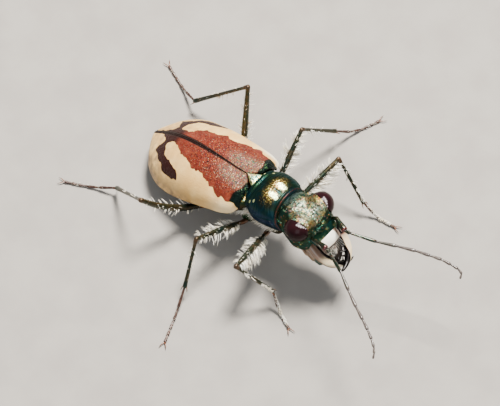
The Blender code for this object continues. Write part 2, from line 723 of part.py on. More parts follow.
def build_tarsus(pair, side):
    """Foot of five segments that comes down to the floor, lies flat on it and ends in claws."""
    leg = LEGS[pair]
    name = pair + "_tarsus_" + side
    ankle = Vector(leg[side]["ankle"])
    down = leg_direction(leg[side]["knee"], ankle)
    rest = TARSUS_RADIUS * SOLE_HEIGHT
    toe = Vector((*leg[side]["toe"], rest))
    forward = Vector((toe.x - ankle.x, toe.y - ankle.y, 0.0)).normalized()
    toe = toe - forward * CLAW_LENGTH * math.cos(CLAW_SPREAD)
    start = ankle + down * (GAP + TARSUS_RADIUS * math.sin(down.angle(toe - ankle)))
    heel = start.lerp(toe, FLOOR_SHARE)
    heel.z = rest
    path = [start]
    radii = [TARSUS_RADIUS]
    reach = 0.0
    for number, length in enumerate(TARSUS_SEGMENTS):
        last = number == len(TARSUS_SEGMENTS) - 1
        for part_way, width in TARSUS_LAST_SECTIONS if last else TARSUS_SECTIONS:
            share = reach + length * part_way
            if share < FLOOR_SHARE:
                point = start.lerp(heel, share / FLOOR_SHARE)
            else:
                point = heel.lerp(toe, (share - FLOOR_SHARE) / (1 - FLOOR_SHARE))
            path.append(point)
            radii.append(TARSUS_RADIUS * width)
        reach += length
    path, radii = rounded_ends(path, radii, SHORT_ROUNDING)
    mesh = tube_mesh(name, path, radii)
    for corner in mesh.vertices:
        corner.co.z = max(corner.co.z, 0.0)
    tarsus = add_part(name, mesh, "foot_brown")
    sideways = forward.cross(Vector((0, 0, 1)))
    claws = []
    for number, turn in enumerate((-1, 1)):
        lean = forward * math.cos(CLAW_SPREAD) + sideways * turn * math.sin(CLAW_SPREAD)
        root = toe - forward * CLAW_ROOT + sideways * turn * CLAW_OFFSET
        tip = root + lean * (CLAW_LENGTH + CLAW_ROOT)
        tip.z = CLAW_TIP_HEIGHT
        claws.append(spike_mesh(name + "_claw_" + str(number), root, tip, CLAW_RADIUS))
    combine(tarsus, claws, "UNION")


# The whole beetle

def centre_over_floor():
    """Move every part so that the middle of the whole beetle's box is over the zero point."""
    parts = list(bpy.data.collections[COLLECTION].objects)
    stance = bpy.data.objects.new("stance", None)
    bpy.context.scene.collection.objects.link(stance)
    corners = np.array([part.matrix_world @ corner.co for part in parts for corner in part.data.vertices])
    low, high = corners.min(axis=0), corners.max(axis=0)
    stance.location = (-(low[0] + high[0]) / 2, -(low[1] + high[1]) / 2, -low[2])
    for part in parts:
        part.parent = stance


def build_beetle():
    """Build every part."""
    clear_scene()
    group = bpy.data.collections.new(COLLECTION)
    bpy.context.scene.collection.children.link(group)
    build_head()
    build_labrum()
    for side in SIDES:
        build_mandible(side)
        build_palp("maxillary_palp_" + side, mirrored(MAXILLARY_PALP, side), "feeler_brown")
        build_palp("labial_palp_" + side, mirrored(LABIAL_PALP, side), "ivory_shell")
        build_antenna(side)
        build_elytron(side)
    body_loft("pronotum", PRONOTUM_STATIONS, PRONOTUM_RINGS, BODY_SIDES, "green_shell")
    body_loft("thorax", THORAX_STATIONS, THORAX_RINGS, BODY_SIDES, "copper_shell")
    body_loft("abdomen", ABDOMEN_STATIONS, ABDOMEN_RINGS, BODY_SIDES, "green_shell")
    build_scutellum()
    for pair in LEGS:
        for side in SIDES:
            build_coxa(pair, side)
            build_femur(pair, side)
            build_tibia(pair, side)
            build_tarsus(pair, side)
    centre_over_floor()


build_beetle()
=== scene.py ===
"""Looks of a life-size tiger beetle: shell, eyes, jaws, legs, white bristles and studio.

Lengths in this script are in millimetres until a mesh is stored. Two frames are used, as in the
solids: the body frame (x to the beetle's left, t forward, z up, zero at the tip of the
scutellum), and the floor frame, in which the body is pitched and the feet stand at zero.
"""

import math

import bpy
import numpy as np
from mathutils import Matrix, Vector


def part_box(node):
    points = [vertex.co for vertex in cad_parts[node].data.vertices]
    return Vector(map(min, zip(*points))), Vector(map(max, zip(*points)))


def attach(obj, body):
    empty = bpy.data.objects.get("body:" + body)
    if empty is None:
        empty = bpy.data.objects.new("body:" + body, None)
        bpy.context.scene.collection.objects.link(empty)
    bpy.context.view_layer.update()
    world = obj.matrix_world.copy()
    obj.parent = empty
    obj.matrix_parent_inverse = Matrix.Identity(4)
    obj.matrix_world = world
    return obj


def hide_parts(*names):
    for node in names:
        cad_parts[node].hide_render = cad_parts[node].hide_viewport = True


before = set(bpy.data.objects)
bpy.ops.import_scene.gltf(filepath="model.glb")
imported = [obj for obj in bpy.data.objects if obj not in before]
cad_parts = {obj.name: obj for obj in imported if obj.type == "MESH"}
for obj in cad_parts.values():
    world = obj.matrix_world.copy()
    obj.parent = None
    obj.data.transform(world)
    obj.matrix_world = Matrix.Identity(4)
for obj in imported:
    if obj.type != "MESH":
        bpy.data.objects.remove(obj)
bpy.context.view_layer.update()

MM = 0.001
SIDES = {"left": 1.0, "right": -1.0}
PAIRS = ("front", "middle", "hind")

# Stance of the body over the floor
PITCH = math.radians(13.9)
BACK_HEIGHT = 5.22

# Front lower edge of the thorax in the body frame, which ties both frames to the solids
THORAX_EDGE = (0.56, -2.40)

# Sections along the body: place, half width, crown, throat or belly, widest line, lean
HEAD_STATIONS = (
    (3.20, 1.06, -0.44, -2.00, -1.15, 0.00),
    (3.42, 1.34, -0.22, -2.28, -1.22, 0.00),
    (3.70, 1.46, -0.09, -2.44, -1.34, 0.00),
    (4.10, 1.54, 0.00, -2.62, -1.52, 0.04),
    (4.70, 1.64, 0.02, -2.82, -1.78, 0.12),
    (5.35, 1.70, -0.14, -3.00, -1.98, 0.26),
    (5.85, 1.64, -0.56, -3.04, -2.10, 0.42),
    (6.15, 1.48, -1.02, -3.00, -2.14, 0.54),
    (6.38, 1.22, -1.42, -2.86, -2.16, 0.62),
)
PRONOTUM_STATIONS = (
    (0.70, 1.34, -0.06, -2.15, -1.00),
    (0.86, 1.50, 0.05, -2.20, -1.00),
    (1.06, 1.62, 0.12, -2.40, -1.05),
    (1.26, 1.72, 0.15, -2.50, -1.10),
    (1.55, 1.83, 0.22, -2.55, -1.15),
    (2.10, 1.88, 0.27, -2.58, -1.20),
    (2.60, 1.80, 0.16, -2.62, -1.24),
    (2.98, 1.68, 0.04, -2.66, -1.30),
    (3.16, 1.60, -0.01, -2.66, -1.34),
    (3.42, 1.46, -0.09, -2.56, -1.30),
)
THORAX_STATIONS = (
    (0.86, 1.10, -0.62, -2.30, -1.50),
    (0.56, 1.24, -0.60, -2.45, -1.60),
    (0.20, 1.56, -0.62, -2.75, -1.80),
    (-0.70, 1.92, -0.70, -2.92, -2.00),
    (-1.70, 2.06, -0.64, -3.00, -2.10),
    (-2.80, 2.12, -0.64, -3.00, -2.12),
)
ABDOMEN_STATIONS = (
    (-2.70, 2.10, -0.62, -3.00, -2.12),
    (-4.20, 2.22, -0.60, -3.34, -2.35),
    (-5.40, 2.20, -0.76, -3.36, -2.50),
    (-6.50, 1.92, -1.06, -3.14, -2.45),
    (-7.25, 1.46, -1.44, -2.86, -2.32),
    (-7.85, 0.86, -1.76, -2.62, -2.24),
    (-8.20, 0.40, -1.92, -2.44, -2.20),
)
BODY_POWER = 2.25

# Eyes: centre of the base, bulge axis, length along the head, height and bulge
EYE_CENTRE = (1.10, 5.20, -0.80)
EYE_AXIS = (0.93, 0.06, 0.30)
EYE_HALF_LENGTH = 0.90
EYE_HALF_HEIGHT = 0.86
EYE_BULGE = 0.98

# Painted highlight: a pale glint along the inner front edge of each eye, painted into its colour. Places and sizes
EYE_GLINT = (
    ((1.36, 5.48, 0.00), 0.08), ((1.31, 5.60, -0.04), 0.11), ((1.25, 5.73, -0.10), 0.12),
    ((1.17, 5.85, -0.20), 0.08), ((1.09, 5.94, -0.33), 0.06), ((0.98, 6.04, -0.53), 0.05),
)

# Jaws lie in a plane that leans down and forward from their hinges
MANDIBLE_ROOT = (6.16, -2.82)
MANDIBLE_SLOPE = math.radians(-43.0)
MANDIBLE_CURVE = {
    "left": ((1.24, -0.10), (1.32, 0.92), (0.74, 2.03), (-0.84, 2.08)),
    "right": ((1.00, -0.10), (1.06, 0.92), (0.64, 2.03), (-1.10, 2.13)),
}
MANDIBLE_CROSSING = 0.50
MANDIBLE_HALF_WIDTHS = (0.29, 0.30, 0.30, 0.28, 0.24, 0.17, 0.07)
MANDIBLE_HALF_THICKNESS = 0.25

# Palps: points of the left one
MAXILLARY_PALP = ((0.94, 4.78, -3.02), (1.02, 4.96, -3.38), (1.04, 5.38, -3.64), (1.00, 5.88, -3.90),
                  (0.90, 6.34, -4.10))
LABIAL_PALP = ((0.34, 4.86, -3.02), (0.36, 5.06, -3.56), (0.36, 5.56, -3.94), (0.36, 6.12, -4.36))

# Pale outer lobe between each jaw and its long palp
OUTER_LOBE = ((1.02, 5.33, -2.62), (1.12, 5.63, -2.95), (1.14, 5.99, -3.29), (1.04, 6.41, -3.65))

# Antennae: lengths of the eleven segments, and the course of each antenna
ANTENNA_SEGMENTS = (1.12, 0.32, 1.85, 1.33, 1.28, 0.96, 0.78, 0.68, 0.55, 0.40, 0.34)
ANTENNA_SOCKET = (1.10, 6.54, -1.16)
ANTENNA_ROOT = (1.00, 6.10, -1.36)
ANTENNA_COURSE = {
    "left": {"turn": (-19.0, 18.0, 24.0, 27.0, 25.0, 20.0, 21.0, 12.0, 10.0, -8.0, -70.0),
             "climb": (0.0, -6.0, -7.0, 0.0, 0.0, 0.0, -3.0, -5.0, -9.0, -20.0, -36.0)},
    "right": {"turn": (4.0, 20.0, 25.0, 29.0, 27.0, 25.0, 26.0, 29.0, 34.0, 46.0, 62.0),
              "climb": (14.0, 10.0, 11.0, -4.0, -3.0, 0.0, -2.0, -4.0, -8.0, -18.0, -30.0)},
}
ANTENNA_RADII = (0.23, 0.14, 0.125, 0.12, 0.12, 0.12, 0.115, 0.11, 0.10, 0.09, 0.075)

# Wing covers: place along the body, half width of the pair, crown and margin
ELYTRA_STATIONS = (
    (0.62, 1.84, -0.10, -1.10),
    (0.50, 2.00, 0.01, -1.18),
    (0.28, 2.38, 0.03, -1.30),
    (-0.30, 2.66, 0.04, -1.42),
    (-1.30, 2.82, 0.12, -1.60),
    (-2.60, 2.95, 0.20, -1.88),
    (-4.00, 3.05, 0.18, -2.18),
    (-5.20, 3.04, 0.05, -2.40),
    (-6.20, 2.94, -0.20, -2.38),
    (-7.10, 2.58, -0.56, -2.30),
    (-7.80, 2.08, -0.92, -2.16),
    (-8.40, 1.32, -1.26, -2.02),
    (-8.80, 0.66, -1.50, -1.92),
    (-8.98, 0.26, -1.62, -1.86),
)
ELYTRON_POWER = 2.1
SCUTELLUM_REACH = 0.72

# Edge of the dark part of a wing cover: place along the body, and distance from the suture
# over the curve of the shell. It runs round the disc, the middle band and the apical hook.
MARKING_EDGE = (
    (0.90, -0.60), (0.90, 3.90), (0.56, 3.90), (0.54, 2.80), (0.48, 2.32), (0.10, 2.16),
    (-0.58, 2.22), (-0.86, 2.38), (-1.56, 2.14), (-1.92, 2.06), (-2.36, 1.87), (-2.78, 1.68),
    (-3.20, 1.74), (-3.56, 1.76), (-4.06, 1.47), (-4.42, 1.36), (-4.74, 1.30), (-4.96, 1.34),
    (-5.32, 1.05), (-5.66, 0.80), (-5.98, 0.65), (-6.40, 0.58), (-6.66, 0.66), (-6.74, 0.88),
    (-6.52, 1.34), (-6.22, 1.64), (-5.64, 1.93), (-4.92, 2.24), (-4.54, 2.50), (-4.42, 2.80),
    (-4.56, 3.00), (-5.06, 2.95), (-5.70, 2.80), (-6.14, 2.46), (-6.78, 1.86), (-7.36, 1.54),
    (-7.56, 1.42), (-7.26, 0.94), (-7.24, 0.56), (-7.50, 0.30), (-8.10, 0.17), (-9.20, 0.10),
    (-9.20, -0.60),
)

# Legs: hip and root of the thigh in the body frame, then knee, ankle and toe in the floor frame
LEGS = {
    "front": {
        "coxa": (0.64, 2.34, -3.05), "coxa_size": (0.52, 0.62, 0.72), "root": (1.18, 2.12, -3.22),
        "femur": 0.27, "tibia": 0.125, "tarsus": 0.105,
        "left": {"knee": (5.49, -3.20, 3.69), "ankle": (5.16, -5.72, 1.11), "toe": (5.58, -8.63)},
        "right": {"knee": (-5.28, -3.48, 4.12), "ankle": (-4.02, -5.60, 1.49), "toe": (-5.06, -8.15)},
    },
    "middle": {
        "coxa": (0.78, 0.02, -3.26), "coxa_size": (0.58, 0.66, 0.62), "root": (1.32, 0.14, -3.46),
        "femur": 0.24, "tibia": 0.125, "tarsus": 0.105,
        "left": {"knee": (5.47, 0.02, 3.99), "ankle": (7.97, -0.89, 1.51), "toe": (11.60, -2.30)},
        "right": {"knee": (-5.38, -0.12, 3.96), "ankle": (-7.37, -0.82, 0.99), "toe": (-11.42, -2.40)},
    },
    "hind": {
        "coxa": (0.86, -2.34, -3.36), "coxa_size": (0.66, 0.72, 0.52), "root": (1.42, -2.84, -3.66),
        "femur": 0.27, "tibia": 0.13, "tarsus": 0.105,
        "left": {"knee": (5.27, 4.59, 4.77), "ankle": (3.72, 8.04, 1.09), "toe": (5.25, 12.02),
                 "bow": (0.34, 0.28, -0.76)},
        "right": {"knee": (-5.80, 4.32, 4.56), "ankle": (-4.64, 7.68, 0.70), "toe": (-6.57, 11.30),
                  "bow": (-0.40, 0.00, -0.26)},
    },
}
TARSUS_SEGMENTS = (0.34, 0.22, 0.17, 0.12, 0.15)
FLOOR_SHARE = 0.46
CLAW_LENGTH = 0.50
CLAW_SPREAD = math.radians(30.0)

# Camera: turned and raised as the photo was taken, with its aim off the zero point
CAMERA_TURN = math.radians(-49.175)
CAMERA_RISE = math.radians(61.117)
CAMERA_DISTANCE = 218.965
CAMERA_AIM = (0.109, 0.648)
LENS = 234.75

# Light from the beetle's left, a little behind it
KEY_DIRECTION = (0.444, 0.112, 1.0)


# Frames and small formulas

low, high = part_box("thorax")
SHIFT = np.array([(low.x + high.x) / 2 / MM,
                  low.y / MM + THORAX_EDGE[0] * math.cos(PITCH) - THORAX_EDGE[1] * math.sin(PITCH), 0.0])


def on_floor(points):
    """Floor frame to the model's own frame: both differ by one level shift."""
    return np.asarray(points, float) + SHIFT


def stand(points):
    """Body frame to the model's frame: pitch nose up, lift over the floor, then shift."""
    x, t, z = np.moveaxis(np.asarray(points, float), -1, 0)
    back = -t * math.cos(PITCH) + z * math.sin(PITCH)
    height = BACK_HEIGHT + t * math.sin(PITCH) + z * math.cos(PITCH)
    return on_floor(np.stack([x, back, height], -1))


def mirrored(points, side):
    """Points of the left side, or the same points on the right side."""
    return np.asarray(points, float) * (SIDES[side], 1.0, 1.0)


def unit(vectors):
    """Vectors divided by their length."""
    vectors = np.asarray(vectors, float)
    return vectors / np.maximum(np.linalg.norm(vectors, axis=-1, keepdims=True), 1e-12)


def bump(value, middle, width):
    """Bell curve: one at the middle, and e to the minus square of the distance in widths."""
    return np.exp(-((value - middle) / width) ** 2)


def ease(value, start, stop):
    """Smooth step: nought before start, one after stop, three squares less two cubes between."""
    share = np.clip((value - start) / (stop - start), 0.0, 1.0)
    return share * share * (3 - 2 * share)


def smooth_rows(stations, count):
    """Cubic between stations, with each slope the mean of its neighbours; denser at the ends."""
    table = np.asarray(stations, float)
    chord = np.linalg.norm(np.diff(table, axis=0), axis=1)
    place = np.concatenate([[0.0], np.cumsum(chord)])
    slope = np.gradient(table, place, axis=0)
    ends = np.linspace(0.0, math.pi, count)
    where = place[-1] * (0.5 * (1 - np.cos(ends)) * 0.5 + 0.5 * ends / math.pi)
    index = np.clip(np.searchsorted(place, where, side="right") - 1, 0, len(place) - 2)
    step = (place[index + 1] - place[index])[:, None]
    s = (where - place[index])[:, None] / step
    start = table[index] * (2 * s ** 3 - 3 * s ** 2 + 1) + slope[index] * step * (s ** 3 - 2 * s ** 2 + s)
    stop = table[index + 1] * (3 * s ** 2 - 2 * s ** 3) + slope[index + 1] * step * (s ** 3 - s ** 2)
    return start + stop


def smooth_path(points, count):
    """Points at even steps of the station number on the same cubic, through every given point."""
    table = np.asarray(points, float)
    slope = np.gradient(table, axis=0)
    where = np.linspace(0.0, len(table) - 1, count)
    index = np.clip(where.astype(int), 0, len(table) - 2)
    s = (where - index)[:, None]
    start = table[index] * (2 * s ** 3 - 3 * s ** 2 + 1) + slope[index] * (s ** 3 - 2 * s ** 2 + s)
    stop = table[index + 1] * (3 * s ** 2 - 2 * s ** 3) + slope[index + 1] * (s ** 3 - s ** 2)
    return start + stop


def grid_normals(grid, wrap):
    """Normal at each point of a grid: cross product of its two tangents."""
    down = np.gradient(grid, axis=0)
    if wrap:
        across = (np.roll(grid, -1, axis=1) - np.roll(grid, 1, axis=1)) / 2
    else:
        across = np.gradient(grid, axis=1)
    return unit(np.cross(down, across))


# Patches: points, faces and point values of one surface

class Patch:
    """Points with four-sided and three-sided faces, and named values at the points."""

    def __init__(self, points, quads, tris, values):
        self.points = points
        self.quads = quads
        self.tris = tris
        self.values = values

    def volume(self):
        """Six times the signed volume over all faces, each taken as a fan from its first point."""
        middle = self.points.mean(axis=0)
        total = 0.0
        for faces, fans in ((self.quads, ((0, 1, 2), (0, 2, 3))), (self.tris, ((0, 1, 2),))):
            for fan in fans:
                a, b, c = (self.points[faces[:, corner]] - middle for corner in fan)
                total += np.einsum("ij,ij->", a, np.cross(b, c))
        return total

    def outward(self):
        """The same patch with its faces pointing outwards."""
        if self.volume() < 0:
            self.quads = self.quads[:, ::-1]
            self.tris = self.tris[:, ::-1]
        return self


def grid_faces(rows, columns, wrap):
    """Four-sided faces between the neighbouring points of a grid, row by row."""
    row = np.arange(rows - 1)[:, None]
    column = np.arange(columns if wrap else columns - 1)[None, :]
    after = (column + 1) % columns
    corners = (row * columns + column, row * columns + after,
               (row + 1) * columns + after, (row + 1) * columns + column)
    return np.stack([corner.ravel() for corner in corners], -1)


def closed_tube(grid, values=None):
    """Rings joined to a skin, closed at each end by a fan to the middle of the last ring."""
    rows, columns = grid.shape[:2]
    values = dict(values or {})
    points = np.concatenate([grid.reshape(-1, 3), grid[0].mean(0)[None], grid[-1].mean(0)[None]])
    for name, value in values.items():
        value = np.broadcast_to(value, (rows, columns)).astype(float)
        values[name] = np.concatenate([value.ravel(), [value[0].mean()], [value[-1].mean()]])
    here = np.arange(columns)
    after = (here + 1) % columns
    first = np.stack([np.full(columns, rows * columns), after, here], -1)
    last = (rows - 1) * columns
    end = np.stack([np.full(columns, rows * columns + 1), last + here, last + after], -1)
    return Patch(points, grid_faces(rows, columns, True), np.concatenate([first, end]), values).outward()


def closed_shell(outer, inner, values=None):
    """Two grids of equal size joined along their four edges."""
    rows, columns = outer.shape[:2]
    count = rows * columns
    skin = grid_faces(rows, columns, False)
    grid = np.arange(count).reshape(rows, columns)
    edges = (grid[0], grid[:, -1], grid[-1, ::-1], grid[::-1, 0])
    walls = [np.stack([edge[1:], edge[:-1], edge[:-1] + count, edge[1:] + count], -1) for edge in edges]
    quads = np.concatenate([skin, skin[:, ::-1] + count] + walls)
    points = np.concatenate([outer.reshape(-1, 3), inner.reshape(-1, 3)])
    values = {name: np.tile(np.broadcast_to(value, (rows, columns)).ravel().astype(float), 2)
              for name, value in (values or {}).items()}
    return Patch(points, quads, np.zeros((0, 3), int), values).outward()


def merged(patches):
    """Several patches as one, with values that a patch lacks set to nought."""
    names = sorted(set(name for patch in patches for name in patch.values))
    starts = np.cumsum([0] + [len(patch.points) for patch in patches[:-1]])
    values = {}
    for name in names:
        shape = next(patch.values[name] for patch in patches if name in patch.values).shape[1:]
        values[name] = np.concatenate([patch.values.get(name, np.zeros((len(patch.points), *shape)))
                                       for patch in patches])
    return Patch(np.concatenate([patch.points for patch in patches]),
                 np.concatenate([patch.quads + start for patch, start in zip(patches, starts)]),
                 np.concatenate([patch.tris + start for patch, start in zip(patches, starts)]), values)


def add_piece(name, patches, material, nodes=()):
    """Store patches as one smooth mesh that rides on the body and stands for the named nodes."""
    patch = merged(patches)
    name = name + "_skin" if nodes else name
    mesh = bpy.data.meshes.new(name)
    mesh.vertices.add(len(patch.points))
    mesh.vertices.foreach_set("co", (patch.points * MM).astype(np.float32).ravel())
    corners = np.concatenate([patch.quads.ravel(), patch.tris.ravel()]).astype(np.int32)
    sizes = np.concatenate([np.full(len(patch.quads), 4), np.full(len(patch.tris), 3)])
    mesh.loops.add(len(corners))
    mesh.loops.foreach_set("vertex_index", corners)
    mesh.polygons.add(len(sizes))
    mesh.polygons.foreach_set("loop_start", (np.cumsum(sizes) - sizes).astype(np.int32))
    mesh.update(calc_edges=True)
    for key, value in patch.values.items():
        if value.ndim == 2:
            layer = mesh.uv_layers.new(name=key)
            layer.data.foreach_set("uv", value[corners].astype(np.float32).ravel())
        else:
            layer = mesh.attributes.new(key, "FLOAT", "POINT")
            layer.data.foreach_set("value", value.astype(np.float32))
    mesh.shade_smooth()
    mesh.materials.append(material)
    piece = bpy.data.objects.new(name, mesh)
    bpy.context.scene.collection.objects.link(piece)
    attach(piece, "root")
    if nodes:
        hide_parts(*nodes)
    return piece


# Round limbs

class Limb:
    """A round limb along a path, with its thickness at each point of the path."""

    def __init__(self, path, radii, flat=1.0):
        self.path = np.asarray(path, float)
        self.radii = np.asarray(radii, float)
        self.flat = flat
        self.tangent = unit(np.gradient(self.path, axis=0))
        up = np.array([0.0, 0.0, 1.0]) - self.tangent * self.tangent[:, 2:]
        self.up = unit(up)
        self.aside = np.cross(self.tangent, self.up)

    def at(self, share, angle):
        """Point and normal at a share of the length and an angle from the upper side."""
        place = np.asarray(share) * (len(self.path) - 1)
        index = np.clip(place.astype(int), 0, len(self.path) - 2)
        part = (place - index)[..., None]

        def blend(table):
            return table[index] * (1 - part) + table[index + 1] * part

        radius = blend(self.radii[:, None])
        across = np.cos(angle)[..., None] * blend(self.up)
        across = across + np.sin(angle)[..., None] * blend(self.aside) * self.flat
        return blend(self.path) + across * radius, unit(across), unit(blend(self.tangent))

    def facing(self, share, direction):
        """Angle round the limb at which its skin faces a direction."""
        index = int(share * (len(self.path) - 1))
        return math.atan2(np.dot(self.aside[index], direction), np.dot(self.up[index], direction))

    def skin(self, sides, values=None, swell=None):
        """Rings of the limb as a closed patch; its ends are rounded by two narrower rings."""
        angle = 2 * math.pi * np.arange(sides) / sides
        across = (np.cos(angle)[None, :, None] * self.up[:, None]
                  + self.flat * np.sin(angle)[None, :, None] * self.aside[:, None])
        radius = self.radii[:, None, None]
        if swell is not None:
            radius = radius + swell[..., None]
        grid = self.path[:, None] + across * radius
        caps = []
        for row, way in ((0, -1), (-1, 1)):
            for turn in (0.55, 0.9):
                size = math.cos(turn * math.pi / 2)
                reach = math.sin(turn * math.pi / 2) * self.radii[row] * way * 0.8
                centre = self.path[row] + self.tangent[row] * reach
                caps.append(centre + (grid[row] - self.path[row]) * size)
        grid = np.concatenate([[caps[1], caps[0]], grid, [caps[2], caps[3]]])
        share = np.linspace(0.0, 1.0, len(self.path))
        table = {"along": np.concatenate([[0, 0], share, [1, 1]])[:, None]}
        for name, value in (values or {}).items():
            table[name] = np.concatenate([[value[0]] * 2, value, [value[-1]] * 2])[:, None]
        return closed_tube(grid, table)


def tufts(roots, directions, lengths, widths, bends, skin_places, rings=4, sides=3):
    """Tapered bristles: centre is root plus direction times share of length plus bend times its
    square, and the radius falls with the share of length. Each keeps its place on the skin."""
    share = np.linspace(0.0, 1.0, rings + 1)[:-1]
    reach = share[None, :, None] * lengths[:, None, None]
    centre = roots[:, None] + directions[:, None] * reach + bends[:, None] * share[None, :, None] ** 2
    helper = np.where(np.abs(directions[:, 2:]) > 0.8, [[1.0, 0.0, 0.0]], [[0.0, 0.0, 1.0]])
    first = unit(np.cross(directions, helper))
    second = np.cross(directions, first)
    angle = 2 * math.pi * np.arange(sides) / sides
    across = (np.cos(angle)[None, :, None] * first[:, None] + np.sin(angle)[None, :, None] * second[:, None])
    radius = widths[:, None] * (1 - share[None, :]) ** 0.6
    rows = centre[:, :, None] + across[:, None] * radius[..., None, None]
    tips = roots + directions * lengths[:, None] + bends
    count = len(roots)
    size = rings * sides + 1
    points = np.concatenate([rows.reshape(count, rings * sides, 3), tips[:, None]], 1)
    quads = grid_faces(rings, sides, True)
    here = np.arange(sides)
    last = (rings - 1) * sides
    point = np.stack([last + here, last + (here + 1) % sides, np.full(sides, size - 1)], -1)
    base = [[0, 2, 1]] if sides == 3 else [[0, k + 1, k] for k in range(1, sides - 1)]
    tris = np.concatenate([point, base])
    offset = (np.arange(count) * size)[:, None, None]
    patch_step = 0.003
    local = np.stack(np.meshgrid(np.arange(sides) / sides, share, indexing="xy"), -1).reshape(-1, 2)
    local = np.concatenate([local, [[0.5, 1.0]]]) * patch_step
    places = skin_places[:, None] + local[None]
    return Patch(points.reshape(-1, 3), (quads[None] + offset).reshape(-1, 4),
                 (tris[None] + offset).reshape(-1, 3), {"OFBake": places.reshape(-1, 2)}).outward()


def fringe(limb, count, draw, span=(0.05, 0.95), facing=(0, 0, 1), spread=0.5, length=0.5, lean=0.4,
           width=0.018, droop=0.1, band=(0.0, 1.0), together=1):
    """Bristles on a limb, drawn at random round the side that faces a direction. They stand
    singly or in clumps whose bristles share a place and a lean."""
    clumps = max(count // together, 1)
    own = draw.integers(0, clumps, count)
    share = np.clip(draw.uniform(*span, clumps)[own] + draw.normal(0.0, 0.006, count), *span)
    middle = limb.facing(sum(span) / 2, facing)
    angle = middle + draw.normal(0.0, spread, clumps)[own] + draw.normal(0.0, 0.08, count)
    point, normal, tangent = limb.at(share, angle)
    twist = draw.normal(0.0, 0.17, (clumps, 3))[own] + draw.normal(0.0, 0.045, (count, 3))
    direction = unit(normal * math.cos(lean) + tangent * math.sin(lean) + twist)
    hump = 0.45 + 0.55 * np.sin(math.pi * (share - span[0]) / (span[1] - span[0])) ** 0.7
    lengths = length * hump * draw.uniform(0.70, 1.15, clumps)[own] * draw.uniform(0.85, 1.1, count)
    widths = width * draw.uniform(0.7, 1.25, count)
    bends = tangent * (lengths * droop)[:, None] - normal * (lengths * droop * 0.6)[:, None]
    places = np.stack([band[0] + (band[1] - band[0]) * share * 0.98,
                       np.mod(angle / (2 * math.pi), 1.0) * 0.98], -1)
    return tufts(point - normal * 0.03, direction, lengths, widths, bends, places)


# Shader arithmetic

class Value:
    """A socket of a material, with the arithmetic that its patterns are written in."""

    def __init__(self, finish, socket):
        self.finish = finish
        self.socket = socket

    def reckon(self, operation, other=None, reverse=False, clamp=False):
        """One Math node on this value and another value or number."""
        terms = [self] if other is None else [self, other]
        if reverse:
            terms.reverse()
        return self.finish.node("ShaderNodeMath", dict(enumerate(terms)), operation=operation, use_clamp=clamp)

    def __add__(self, other):
        return self.reckon("ADD", other)

    __radd__ = __add__

    def __mul__(self, other):
        return self.reckon("MULTIPLY", other)

    __rmul__ = __mul__

    def __sub__(self, other):
        return self.reckon("SUBTRACT", other)

    def __rsub__(self, other):
        return self.reckon("SUBTRACT", other, reverse=True)

    def __truediv__(self, other):
        return self.reckon("DIVIDE", other)

    def __rtruediv__(self, other):
        return self.reckon("DIVIDE", other, reverse=True)

    def __pow__(self, other):
        return self.reckon("POWER", other)

    def step(self, start, stop):
        """Nought before start and one after stop, smooth between; start may lie after stop."""
        rising = start < stop
        bounds = (start, stop) if rising else (stop, start)
        ramp = self.finish.node("ShaderNodeMapRange", {0: self, 1: bounds[0], 2: bounds[1], 3: 0.0, 4: 1.0},
                                interpolation_type="SMOOTHSTEP")
        return ramp if rising else 1.0 - ramp


